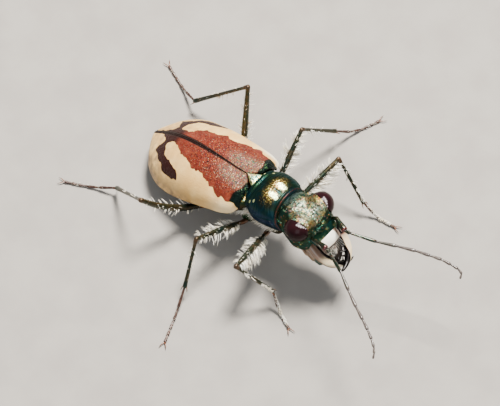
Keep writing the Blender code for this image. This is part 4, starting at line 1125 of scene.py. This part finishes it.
def make_mouth(dark, pale, bristles, draw):
    """Parts between the jaws: a near-black floor of the mouth whose darkness is painted shade between the jaws, and
    two pale lobes with bristles.
    """
    hinge = np.array([0.0, *MANDIBLE_ROOT])
    along = np.array([0.0, math.cos(MANDIBLE_SLOPE), math.sin(MANDIBLE_SLOPE)])
    normal = np.array([0.0, -along[2], along[1]])
    across = np.array([1.0, 0.0, 0.0])
    s = np.linspace(0.0, 1.0, 40)
    reach = -0.35 + 2.00 * s
    middle = np.interp(reach, (-0.35, 0.37, 1.02, 1.65), (0.08, 0.38, 0.22, 0.02))
    path = hinge + across * middle[:, None] + along * reach[:, None] - normal * 0.42
    width = np.interp(reach, (-0.35, 0.37, 0.74, 1.02, 1.38, 1.65), (0.90, 0.94, 0.84, 0.72, 0.52, 0.16))
    angle = 2 * math.pi * np.arange(40) / 40
    grid = (path[:, None] + across * (width[:, None] * np.cos(angle))[..., None]
            + normal * (0.16 * np.sin(angle))[None, :, None] * np.sqrt(1.01 - s ** 6)[:, None, None])
    # Painted shade: the floor of the mouth is near-black to stand for the shade between the jaws
    add_piece("mouth_floor", [closed_tube(stand(grid))], dark)
    lobes, tips = [], []
    for side in SIDES:
        turn = SIDES[side]
        path = (hinge + across * (turn * (0.40 - 0.22 * s))[:, None] + along * (0.10 + 1.02 * s)[:, None]
                - normal * (0.10 + 0.12 * s)[:, None])
        lobe = Limb(stand(path), 0.14 * (0.55 + 0.75 * np.sin(math.pi * s ** 0.8)) * (1 - 0.6 * s ** 4))
        lobes.append(lobe.skin(24))
        tips.append(fringe(lobe, 26, draw, (0.45, 0.98), (-turn, 0.0, 0.2), 0.9, 0.26, 0.7, 0.014))
    add_piece("mouth_lobes", lobes, pale)
    add_piece("mouth_bristles", tips, bristles)


def jointed(path, radii, joints, per_segment=14, waist=0.62, swell=0.72):
    """Path and thickness of a jointed limb: each segment widens to its swell and then narrows."""
    places, sizes, knots = [], [], []
    for number in range(len(path) - 1):
        s = np.linspace(0.0, 1.0, per_segment, endpoint=number == len(path) - 2)
        wide = waist + (1 - waist) * np.sin(math.pi * np.clip(s, 0, 1) ** (math.log(0.5) / math.log(swell))) ** 0.5
        places.append(path[number] + (path[number + 1] - path[number]) * s[:, None])
        sizes.append(wide * radii[number])
        knots.append(bump(s, 0.0, 0.07) + bump(s, 1.0, 0.05) + 0 * joints)
    return np.concatenate(places), np.concatenate(sizes), np.concatenate(knots)


def make_palps(finish, side):
    """Jointed palps under the jaws."""
    for kind, course, radius in (("maxillary_palp_", MAXILLARY_PALP, 0.16), ("labial_palp_", LABIAL_PALP, 0.15)):
        path = stand(mirrored(smooth_path(course, 4 * (len(course) - 1) + 1)[::4], side))
        points, sizes, knots = jointed(path, [radius] * (len(path) - 1), 0, waist=0.66, swell=0.75)
        name = kind + side
        add_piece(name, [Limb(points, sizes).skin(20)], finish, [name])
    path = stand(mirrored(smooth_path(OUTER_LOBE, 24), side))
    lobe = Limb(path, 0.15 - 0.05 * np.linspace(0.0, 1.0, 24) ** 3).skin(20)
    add_piece("outer_lobe_" + side, [lobe], finish)


def antenna_path(side):
    """Ends of the eleven segments, from the socket to the tip."""
    course = ANTENNA_COURSE[side]
    point = stand(mirrored(ANTENNA_SOCKET, side))
    path = [stand(mirrored(ANTENNA_ROOT, side)), point]
    for length, turn, climb in zip(ANTENNA_SEGMENTS, course["turn"], course["climb"]):
        outward, rise = math.radians(turn), math.radians(climb)
        point = point + length * np.array([SIDES[side] * math.sin(outward) * math.cos(rise),
                                           -math.cos(outward) * math.cos(rise), math.sin(rise)])
        path.append(point)
    return np.array(path)


def make_antenna(side, finish, bristles, draw):
    """Feeler of eleven segments on a short socket piece, with fine hairs on the outer ones."""
    path = antenna_path(side)
    points, sizes, knots = jointed(path, (0.13,) + ANTENNA_RADII, 0, per_segment=18, waist=0.66, swell=0.80)
    segment = np.repeat(np.arange(len(path) - 1), 18)
    segment = np.concatenate([segment, np.full(len(points) - len(segment), segment[-1])])[:len(points)]
    limb = Limb(points, sizes)
    name = "antenna_" + side
    blush = bump(np.arange(len(points)), 35, 1.4)
    patch = limb.skin(18, {"segment": segment.astype(float), "joint": knots * (segment != 1), "blush": blush})
    add_piece(name, [patch], finish, [name])
    patches = [fringe(limb, 420, draw, span=(0.36, 0.985), spread=3.0, length=0.11, lean=0.95, width=0.006),
               fringe(limb, 26, draw, span=(0.10, 0.36), spread=3.0, length=0.26, lean=0.7, width=0.008)]
    add_piece(name + "_hairs", patches, bristles)


# Trunk

def make_pronotum(finish):
    """Pronotum: raised rims, two cross grooves, a middle line and two swellings on the disc."""
    grid = trunk(PRONOTUM_STATIONS, 170, 200)
    normal = outward_normals(grid)
    x, t, z = np.moveaxis(grid.copy(), -1, 0)
    grid[..., 1] += ease(t, 2.3, 3.42) * (0.12 * ease(-z, 0.1, 1.0) + 0.24 * ease(-z, 1.0, 2.2) - 0.08)
    grid[..., 1] -= 0.05 * x * ease(t, 1.6, 3.42)
    top = ease(z, -1.3, -0.5)
    inner = ease(t, 1.24, 1.5) * ease(-t, -3.1, -2.9)
    change = -0.070 * bump(t + 0.05 * x * x, 1.16, 0.060) * top
    change += -0.045 * bump(t - 0.04 * x * x, 3.14, 0.070) * top
    change += -0.050 * bump(x, 0.0, 0.055) * top * ease(t, 0.9, 1.2) * ease(-t, -3.2, -2.9)
    change += 0.045 * bump(np.abs(x), 0.60, 0.40) * bump(t, 2.35, 0.60) * top
    change += 0.050 * bump(t, 3.34, 0.060) + 0.035 * bump(t, 0.88, 0.045)
    change += 0.05 * bump(z, -0.95, 0.05) * inner
    ripple = np.sin(t * 30.0 + 2.0 * np.sin(x * 5.0) + 1.2 * np.sin(x * 13.0 + t * 4.0))
    change += 0.006 * ripple * top * inner
    grid = grid + normal * change[..., None]
    disc = 0.78 * bump(t, 2.40, 0.66) * bump(np.abs(x), 0.35, 0.95) * ease(z, -0.8, 0.0)
    disc = disc * (1 - 0.7 * bump(x, 0.0, 0.12) * ease(t, 2.0, 2.6))
    # Painted highlight: two patches on the front slope of the disc and small spots towards the rear
    gleam = bump(t, 2.66, 0.44) * bump(np.abs(x), 0.44, 0.25)
    for spot, size in (((-1.47, 1.34), 0.075), ((-1.38, 1.66), 0.085), ((0.66, 0.84), 0.09), ((1.02, 1.36), 0.08)):
        gleam = np.maximum(gleam, 1.4 * np.exp(-((x - spot[0]) ** 2 + (t - spot[1]) ** 2) / size ** 2))
    rim = bump(t, 3.36, 0.040) * ease(z, -2.2, -0.9)
    patch = closed_tube(stand(grid), {"disc": disc, "rim": rim, "gleam": gleam})
    add_piece("pronotum", [patch], finish, ["pronotum"])


def make_scutellum(finish):
    """Scutellum: a low triangle, its half width growing forward from the tip."""
    rows, columns = 40, 41
    s = np.linspace(0.0, 1.0, rows)[:, None]
    u = np.linspace(-1.0, 1.0, columns)[None]
    x = u * (0.03 + 0.66 * s ** 0.9)
    t = -0.04 + 1.02 * s - 0.05 * u * u * s
    z = 0.045 + 0.05 * (1 - u * u) * (1 - s) - 0.10 * np.abs(u) ** 6 - 0.16 * s ** 4 + 0 * x
    outer = np.stack([x + 0 * t, t + 0 * x, z], -1)
    inner = outer - np.array([0.0, 0.0, 0.35])
    add_piece("scutellum", [closed_shell(stand(outer), stand(inner))], finish, ["scutellum"])


def make_underside(finish, plate):
    """Thorax with its side plates and the ringed abdomen under the wing covers."""
    grid = trunk(THORAX_STATIONS, 110, 160)
    normal = outward_normals(grid)
    x, t, z = np.moveaxis(grid, -1, 0)
    low = ease(-z, 1.6, 2.3)
    change = -0.06 * bump(t + 0.15 * z, -0.95, 0.05) - 0.05 * bump(t - 0.2 * z, 0.45, 0.05)
    change -= 0.05 * bump(x, 0.0, 0.05) * low
    change -= 0.05 * bump(t, -2.25, 0.05) * low
    grid = grid + normal * change[..., None]
    add_piece("thorax", [closed_tube(stand(grid))], finish, ["thorax"])
    collar = slab((-0.05, -0.74), (0.66, -0.66), 0.56,
                  ((0.0, 0.96, 1.0), (0.7, 1.0, 1.0), (1.0, 0.95, 0.7)), 1.64, 2.6)
    add_piece("shoulder_collar", [collar], plate)
    grid = trunk(ABDOMEN_STATIONS, 150, 160)
    normal = outward_normals(grid)
    x, t, z = np.moveaxis(grid, -1, 0)
    change = sum(-0.06 * bump(t + 0.05 * x * x, place, 0.05) + 0.03 * bump(t + 0.05 * x * x, place + 0.12, 0.07)
                 for place in (-3.55, -4.55, -5.45, -6.25, -6.95, -7.55))
    grid = grid + normal * change[..., None]
    add_piece("abdomen", [closed_tube(stand(grid))], finish, ["abdomen"])


def marking_distance(t, arc):
    """Signed distance to the edge of the dark part, positive inside, from a smoothed outline."""
    knots = np.asarray(MARKING_EDGE, float)
    loop = np.concatenate([knots, knots[:1]])
    edge = smooth_path(loop, 4 * len(knots) + 1)
    start, stop = edge[:-1], edge[1:]
    points = np.stack([t.ravel(), arc.ravel()], -1)
    nearest = np.full(len(points), 1e9)
    inside = np.zeros(len(points), bool)
    for a, b in zip(start, stop):
        step = b - a
        share = np.clip((points - a) @ step / max(step @ step, 1e-12), 0.0, 1.0)
        nearest = np.minimum(nearest, np.linalg.norm(points - a - share[:, None] * step, axis=1))
        crosses = (a[1] > points[:, 1]) != (b[1] > points[:, 1])
        at = a[0] + (points[:, 1] - a[1]) * step[0] / (step[1] if step[1] else 1e-12)
        inside ^= crosses & (points[:, 0] < at)
    return np.where(inside, nearest, -nearest).reshape(t.shape)


def make_wing_cover(side, finish):
    """Wing cover: quarter superellipses along the body, with a rim at suture, base and margin."""
    rows, columns = 230, 150
    table = smooth_rows(ELYTRA_STATIONS, rows)
    t, half_width, crown, margin = (column[:, None] for column in table.T)
    angle = (np.linspace(0.0, 1.0, columns)[None] ** 1.0) * math.pi / 2
    across = np.sin(angle) ** (2 / ELYTRON_POWER)
    upright = np.cos(angle) ** (2 / ELYTRON_POWER)
    suture = 0.012
    x = suture + (half_width - suture) * across
    z = margin + (crown - margin) * upright
    t_base, t_apex = ELYTRA_STATIONS[0][0], ELYTRA_STATIONS[-1][0]
    notch = SCUTELLUM_REACH * np.clip(1 - (x - suture) / SCUTELLUM_REACH, 0, 1)
    along = t - notch * (t - t_apex) / (t_base - t_apex)
    arc = np.concatenate([np.zeros((rows, 1)), np.cumsum(np.hypot(np.diff(x, axis=1), np.diff(z, axis=1)), 1)], 1)
    grid = np.stack([x, along, z], -1)
    normal = grid_normals(grid, False)
    normal = normal * np.sign(normal[..., 2:].mean())
    ridge = 0.018 * bump(x, 0.05, 0.03) - 0.02 * bump(x, 0.13, 0.05)
    shoulder = 0.06 * bump(x, 1.45, 0.35) * bump(along, 0.05, 0.35)
    hollow = -0.03 * bump(x, 0.8, 0.3) * bump(along, -0.1, 0.35)
    edge = 0.03 * bump(angle, math.pi / 2, 0.10)
    grid = grid + normal * (ridge + shoulder + hollow + edge)[..., None]
    wall = 0.11 + 0.16 * bump(along, t_base, 0.35)
    inner = grid - normal * wall[..., None]
    inner[..., 0] = np.maximum(inner[..., 0], suture)
    marking = marking_distance(along, arc + 0.08 * SIDES[side] * ease(along, -1.5, 0.0))
    reach = 0.045 + 0.125 * ease(-along, 0.2, 5.0)
    seam = ease(-x, -reach - 0.03, -reach + 0.01)
    base = ease(along + 0.32 * ease(x, 0.9, 1.7), 0.10, 0.62)
    bloom = ease(along, -3.4, 0.5) * bump(arc, 0.55, 0.72)
    hook = ease(arc, 1.0, 1.5) * ease(-along, 4.5, 5.0)
    hook = np.maximum(hook, ease(-along, 5.55, 6.45))
    hook = np.maximum(hook, ease(arc, 1.75, 2.05) * ease(-along, 3.7, 4.1))
    gate = ease(-arc, -1.6, -0.9)
    # Painted highlight: pale ivory on the front of the outer slope, full on the left cover, which faces the light
    front = (1.0 if side == "left" else 0.3) * ease(along, -1.9, 0.0) * ease(arc, 2.2, 2.8)
    sheen = ease(along, -7.5, 0.2) * ease(-arc, -2.5, -0.5) + 0.15
    # Tan with painted shade: darker towards the rear and the outer margin, more on the right cover, which faces away
    # from the light
    tan = ease(-along, 3.0, 8.5) * 0.7 + 0.9 * ease(arc, 3.3, 4.3)
    tan = tan + (0.5 if side == "right" else 0.0) * ease(-along, 5.4, 7.0) * ease(arc, 1.3, 2.3)
    values = {"marking": marking, "seam": seam, "base": base, "hook": hook, "sheen": sheen, "tan": tan,
              "bloom": bloom, "gate": gate, "front": front}
    name = "elytron_" + side
    patch = closed_shell(stand(mirrored(grid, side)), stand(mirrored(inner, side)), values)
    add_piece(name, [patch], finish, [name])


# Legs

def claw(root, forward, sideways, length, radius):
    """Curved hook: its centre runs forward and sideways and bends down with the square."""
    s = np.linspace(0.0, 1.0, 16)[:, None]
    path = root + forward * s * length + sideways * (s - 0.35 * s * s) * length * 0.75
    path[:, 2] += (0.10 * np.sin(math.pi * s[:, 0]) - 0.02 * s[:, 0]) * length
    path[:, 2] = np.maximum(path[:, 2], radius * 0.6)
    return Limb(path, radius * (1 - s[:, 0]) ** 0.7 + 0.004).skin(10)


def make_leg(pair, side, finishes, draw):
    """One leg: hip, thigh, shin with spurs, foot of five segments and claws, then its bristles."""
    leg = LEGS[pair]
    name = "{}_{{}}_{}".format(pair, side)
    knee, ankle = (on_floor(leg[side][key]) for key in ("knee", "ankle"))
    root = stand(mirrored(leg["root"], side))
    bow = np.array(leg[side].get("bow", (0.0, 0.0, 0.0)))

    polar = np.linspace(0.0, math.pi, 40)[1:-1, None]
    turn = 2 * math.pi * np.arange(48)[None] / 48
    ball = np.stack([np.sin(polar) * np.cos(turn), np.sin(polar) * np.sin(turn), np.cos(polar) + 0 * turn], -1)
    hip = mirrored(leg["coxa"], side) + ball * leg["coxa_size"]
    add_piece(name.format("coxa"), [closed_tube(stand(hip))], finishes["under"],
              [name.format("coxa")])

    s = np.linspace(0.0, 1.0, 70)
    path = root + (knee - root) * s[:, None] + bow * np.sin(math.pi * s)[:, None]
    thick = leg["femur"]
    radii = thick * np.interp(s, (0.0, 0.05, 0.10, 0.14, 0.30, 0.55, 0.80, 0.94, 1.0),
                              (0.70, 0.86, 0.80, 0.62, 0.94, 1.0, 0.80, 0.66, 0.72))
    radii = np.convolve(np.pad(radii, 2, mode="edge"), np.ones(5) / 5, mode="valid")
    femur = Limb(path, radii, 0.86)
    warm = ease(-s, -0.20, -0.10) * (1.0 if pair == "hind" else 0.3) + 0.15 * ease(s, 0.95, 1.0)
    add_piece(name.format("femur"), [femur.skin(28, {"warm": warm})], finishes["leg"],
              [name.format("femur")])

    down = unit(ankle - knee)
    path = knee + (ankle - knee) * s[:, None]
    radii = leg["tibia"] * np.interp(s, (0.0, 0.04, 0.10, 0.5, 0.88, 0.97, 1.0),
                                     (1.15, 1.2, 0.92, 0.96, 1.12, 1.3, 1.2))
    tibia = Limb(path, radii)
    sideways = unit(np.cross(down, [0.0, 0.0, 1.0]))
    forward = unit(np.array([*(np.array(leg[side]["toe"]) - np.array(leg[side]["ankle"])[:2]), 0.0]))
    add_piece(name.format("tibia"), [tibia.skin(22, {"warm": 0.25 * bump(s, 0.0, 0.06)})], finishes["leg"],
              [name.format("tibia")])
    spurs = []
    for turn in (-1, 1):
        s2 = np.linspace(0.0, 1.0, 14)[:, None]
        start = ankle - down * 0.10 + sideways * turn * 0.09
        line = start + down * 0.46 * s2 + sideways * turn * 0.22 * s2 * (1 - 0.4 * s2)
        spurs.append(Limb(line, 0.045 * (1 - s2[:, 0]) ** 0.6 + 0.004).skin(10))
    add_piece(name.format("tibia") + "_spurs", spurs, finishes["claw"])

    rest = leg["tarsus"]
    toe = np.array([*leg[side]["toe"], 0.0]) + SHIFT
    toe = toe + [0.0, 0.0, rest]
    toe = toe - forward * CLAW_LENGTH * math.cos(CLAW_SPREAD)
    heel = ankle + (toe - ankle) * FLOOR_SHARE
    heel[2] = rest
    ends = np.concatenate([[0.0], np.cumsum(TARSUS_SEGMENTS)])
    course = np.stack([ankle, heel, toe])
    joints = np.stack([np.interp(ends, (0.0, FLOOR_SHARE, 1.0), course[:, axis]) for axis in range(3)], -1)
    points, sizes, knots = jointed(joints, [rest] * 5, 0, per_segment=22, waist=0.70, swell=0.82)
    corner = np.ones(9) / 9
    points = np.stack([np.convolve(np.pad(points[:, axis], 4, mode="edge"), corner, mode="valid")
                       for axis in range(3)], -1)
    foot = Limb(points, sizes)
    add_piece(name.format("tarsus"), [foot.skin(20, {"joint": knots})], finishes["foot"],
              [name.format("tarsus")])
    out = np.cross(forward, [0.0, 0.0, 1.0])
    claws = [claw(toe - forward * 0.04, forward, out * turn, CLAW_LENGTH, 0.042) for turn in (-1, 1)]
    add_piece(name.format("tarsus") + "_claws", claws, finishes["claw"])
    make_leg_bristles(pair, name, femur, tibia, foot, finishes["bristle"], draw)


# Bristles of each pair of legs: how many on the fore edge, hind edge and all round the thigh
BRUSHES = {
    "front": {"fore": 300, "hind": 120, "round": 64, "length": (1.00, 0.66, 0.28), "clump": 4},
    "middle": {"fore": 128, "hind": 128, "round": 80, "length": (0.80, 0.78, 0.28), "clump": 4},
    "hind": {"fore": 34, "hind": 38, "round": 36, "length": (0.58, 0.54, 0.22), "clump": 1},
}
FORE = (0.0, -1.0, -0.40)
AFT = (0.0, 1.0, 0.40)


def make_leg_bristles(pair, name, femur, tibia, foot, finish, draw):
    """White bristles: brushes on both edges of the thigh, combs on the shin, pads on the foot."""
    brush = BRUSHES[pair]
    fore, aft, short = brush["length"]
    patches = [
        fringe(femur, brush["fore"], draw, (0.16, 0.93), FORE, 0.32, fore, 0.50, 0.026, 0.14, (0.0, 0.33),
               brush["clump"]),
        fringe(femur, brush["hind"], draw, (0.16, 0.93), AFT, 0.36, aft, 0.60, 0.026, 0.14, (0.0, 0.33),
               brush["clump"]),
        fringe(femur, brush["round"], draw, (0.12, 0.96), (0, 0, 1), 1.6, short, 1.05, 0.015, 0.10, (0.0, 0.33)),
        fringe(tibia, 16, draw, (0.14, 0.62), FORE, 0.25, 0.46, 0.60, 0.030, 0.04, (0.34, 0.66)),
        fringe(tibia, 12, draw, (0.14, 0.70), AFT, 0.35, 0.36, 0.70, 0.026, 0.04, (0.34, 0.66)),
        fringe(tibia, 50, draw, (0.04, 0.98), (0, 0, 1), 2.2, 0.16, 1.10, 0.010, 0.05, (0.34, 0.66)),
        fringe(foot, 170, draw, (0.03, 0.97), (0, 0, 1), 1.3, 0.15, 1.0, 0.010, 0.05, (0.67, 1.0)),
    ]
    if pair == "front":
        patches.append(fringe(tibia, 170, draw, (0.66, 0.97), FORE, 0.36, 0.24, 1.0, 0.020, 0.05, (0.34, 0.66)))
        patches.append(fringe(foot, 700, draw, (0.04, 0.80), (0.4, -1.0, 0.5), 0.8, 0.18, 1.0, 0.020, 0.05,
                              (0.67, 1.0)))
    for patch in patches:
        patch.points[:, 2] = np.maximum(patch.points[:, 2], 0.004)
    add_piece(name.format("leg") + "_bristles", patches, finish)


def make_body_bristles(finish, draw):
    """Short white bristles on the sides of the thorax and pronotum and over the hips."""
    patches = []
    plans = (
        (THORAX_STATIONS, (0.15, 0.95), (3.35, 4.30), 520, 0.40, 0.015),
        (THORAX_STATIONS, (0.15, 0.95), (5.12, 6.07), 520, 0.40, 0.015),
        (PRONOTUM_STATIONS, (0.12, 0.90), (3.40, 4.20), 240, 0.42, 0.014),
        (PRONOTUM_STATIONS, (0.12, 0.90), (5.22, 6.02), 240, 0.42, 0.014),
        (HEAD_STATIONS, (0.35, 0.92), (3.45, 4.10), 60, 0.34, 0.011),
        (HEAD_STATIONS, (0.35, 0.92), (5.32, 5.97), 60, 0.34, 0.011),
    )
    for stations, rows, turn, count, length, width in plans:
        grid = trunk(stations, 120, 240)
        normal = outward_normals(grid)
        row = (draw.uniform(*rows, count) * 119).astype(int)
        angle = draw.uniform(*turn, count)
        column = (angle / (2 * math.pi) * 240).astype(int) % 240
        roots = stand(grid[row, column] - 0.03 * normal[row, column])
        tips = stand(grid[row, column] + normal[row, column] + np.array([0.0, -0.9, -0.3]))
        way = unit(unit(tips - roots) + draw.normal(0, 0.18, (count, 3)))
        lengths = length * draw.uniform(0.7, 1.2, count)
        bends = np.tile([0.0, 0.05, -0.06], (count, 1))
        places = np.stack([row / 119 * 0.98, column / 240 * 0.98], -1)
        patches.append(tufts(roots, way, lengths, np.full(count, width), bends, places))
    add_piece("body_bristles", patches, finish)


# Studio

def look_direction():
    """Unit vectors of the view: towards the camera, to its right and up in its picture."""
    a, e = CAMERA_TURN, CAMERA_RISE
    back = np.array([math.sin(a) * math.cos(e), -math.cos(a) * math.cos(e), math.sin(e)])
    right = np.array([math.cos(a), math.sin(a), 0.0])
    up = np.array([-math.sin(e) * math.sin(a), math.sin(e) * math.cos(a), math.cos(e)])
    return back, right, up


def make_camera():
    """Camera at the photo's viewing angle, with its aim beside the zero point."""
    back, right, up = look_direction()
    place = SHIFT + back * CAMERA_DISTANCE + right * CAMERA_AIM[0] + up * CAMERA_AIM[1]
    data = bpy.data.cameras.new("camera")
    data.lens = LENS
    data.sensor_width = 36.0
    data.clip_start = 0.001
    data.clip_end = 10.0
    camera = bpy.data.objects.new("camera", data)
    camera.location = Vector(place * MM)
    camera.rotation_mode = "QUATERNION"
    camera.rotation_quaternion = Vector(-back).to_track_quat("-Z", "Y")
    bpy.context.scene.collection.objects.link(camera)
    bpy.context.scene.camera = camera


def make_light(name, direction, distance, size, power, colour=(1.0, 1.0, 1.0)):
    """Soft square light at a distance in metres, facing the beetle."""
    data = bpy.data.lights.new(name, "AREA")
    data.size = size
    data.energy = power
    data.color = colour
    light = bpy.data.objects.new(name, data)
    way = Vector(direction).normalized()
    light.location = way * distance
    light.rotation_mode = "QUATERNION"
    light.rotation_quaternion = (-way).to_track_quat("-Z", "Y")
    bpy.context.scene.collection.objects.link(light)


def make_studio():
    """Pale floor, one key light where the sun stood, a fill and a pale surround."""
    corners = [(-0.6, -0.6, 0.0), (0.6, -0.6, 0.0), (0.6, 0.6, 0.0), (-0.6, 0.6, 0.0)]
    mesh = bpy.data.meshes.new("floor")
    mesh.from_pydata(corners, [], [(0, 1, 2, 3)])
    finish = Finish("floor_paper", Roughness=0.85, Specular_IOR_Level=0.2)
    finish.set("Base Color", finish.mix(finish.noise(3.0, detail=3.0).step(0.3, 0.7), (0.34, 0.315, 0.285),
                                        (0.38, 0.355, 0.32)))
    mesh.materials.append(finish.material)
    floor = bpy.data.objects.new("floor", mesh)
    bpy.context.scene.collection.objects.link(floor)
    make_light("key", KEY_DIRECTION, 0.40, 0.11, 6.3, (1.0, 0.96, 0.90))
    make_light("fill", (-0.8, -0.7, 0.9), 0.50, 0.30, 0.8, (0.92, 0.96, 1.0))
    world = bpy.data.worlds.new("surround")
    world.use_nodes = True
    sky = world.node_tree.nodes["Background"]
    sky.inputs["Color"].default_value = (0.80, 0.86, 0.95, 1.0)
    sky.inputs["Strength"].default_value = 0.36
    bpy.context.scene.world = world


def main():
    """Make every piece, the camera and the studio."""
    draw = np.random.default_rng(7)
    make_camera()
    make_studio()
    bristle = bristle_finish().material
    head = head_finish().material
    make_head(head)
    plate = metal_finish("plate_metal", (TEAL, DEEP_GREEN), (GOLD, PALE_GREEN), 0.08, 0.25).material
    make_clypeus(plate)
    make_lip(lip_finish().material, bristle, draw)
    make_eyes(eye_finish().material)
    make_pronotum(pronotum_finish().material)
    make_scutellum(metal_finish("scutellum_metal", ((0.02, 0.10, 0.08), (0.34, 0.38, 0.12)),
                                ((0.62, 0.56, 0.20), (0.24, 0.50, 0.34), (0.02, 0.06, 0.05), (0.74, 0.66, 0.40)),
                                0.11, 0.85, 0.30).material)
    under = metal_finish("underside_metal", (DEEP_GREEN, (0.06, 0.035, 0.02)), (COPPER, (0.10, 0.16, 0.08)),
                         0.12, 0.4, 0.34).material
    make_underside(under, plate)
    wing = wing_finish().material
    jaw = jaw_finish().material
    feeler = feeler_finish().material
    palp = palp_finish().material
    finishes = {"under": under, "leg": leg_finish().material, "foot": foot_finish().material,
                "claw": claw_finish().material, "mouth": mouth_finish().material, "bristle": bristle}
    # Painted shade: near-black finish for the floor of the mouth
    make_mouth(Finish("mouth_floor_shade", Base_Color=(0.010, 0.006, 0.004), Roughness=0.6, Specular_IOR_Level=0.2).material,
               finishes["mouth"], bristle, draw)
    for side in SIDES:
        make_jaw(side, jaw)
        make_palps(palp, side)
        make_antenna(side, feeler, bristle, draw)
        make_wing_cover(side, wing)
    for pair in PAIRS:
        for side in SIDES:
            make_leg(pair, side, finishes, draw)
    make_body_bristles(bristle, draw)


main()
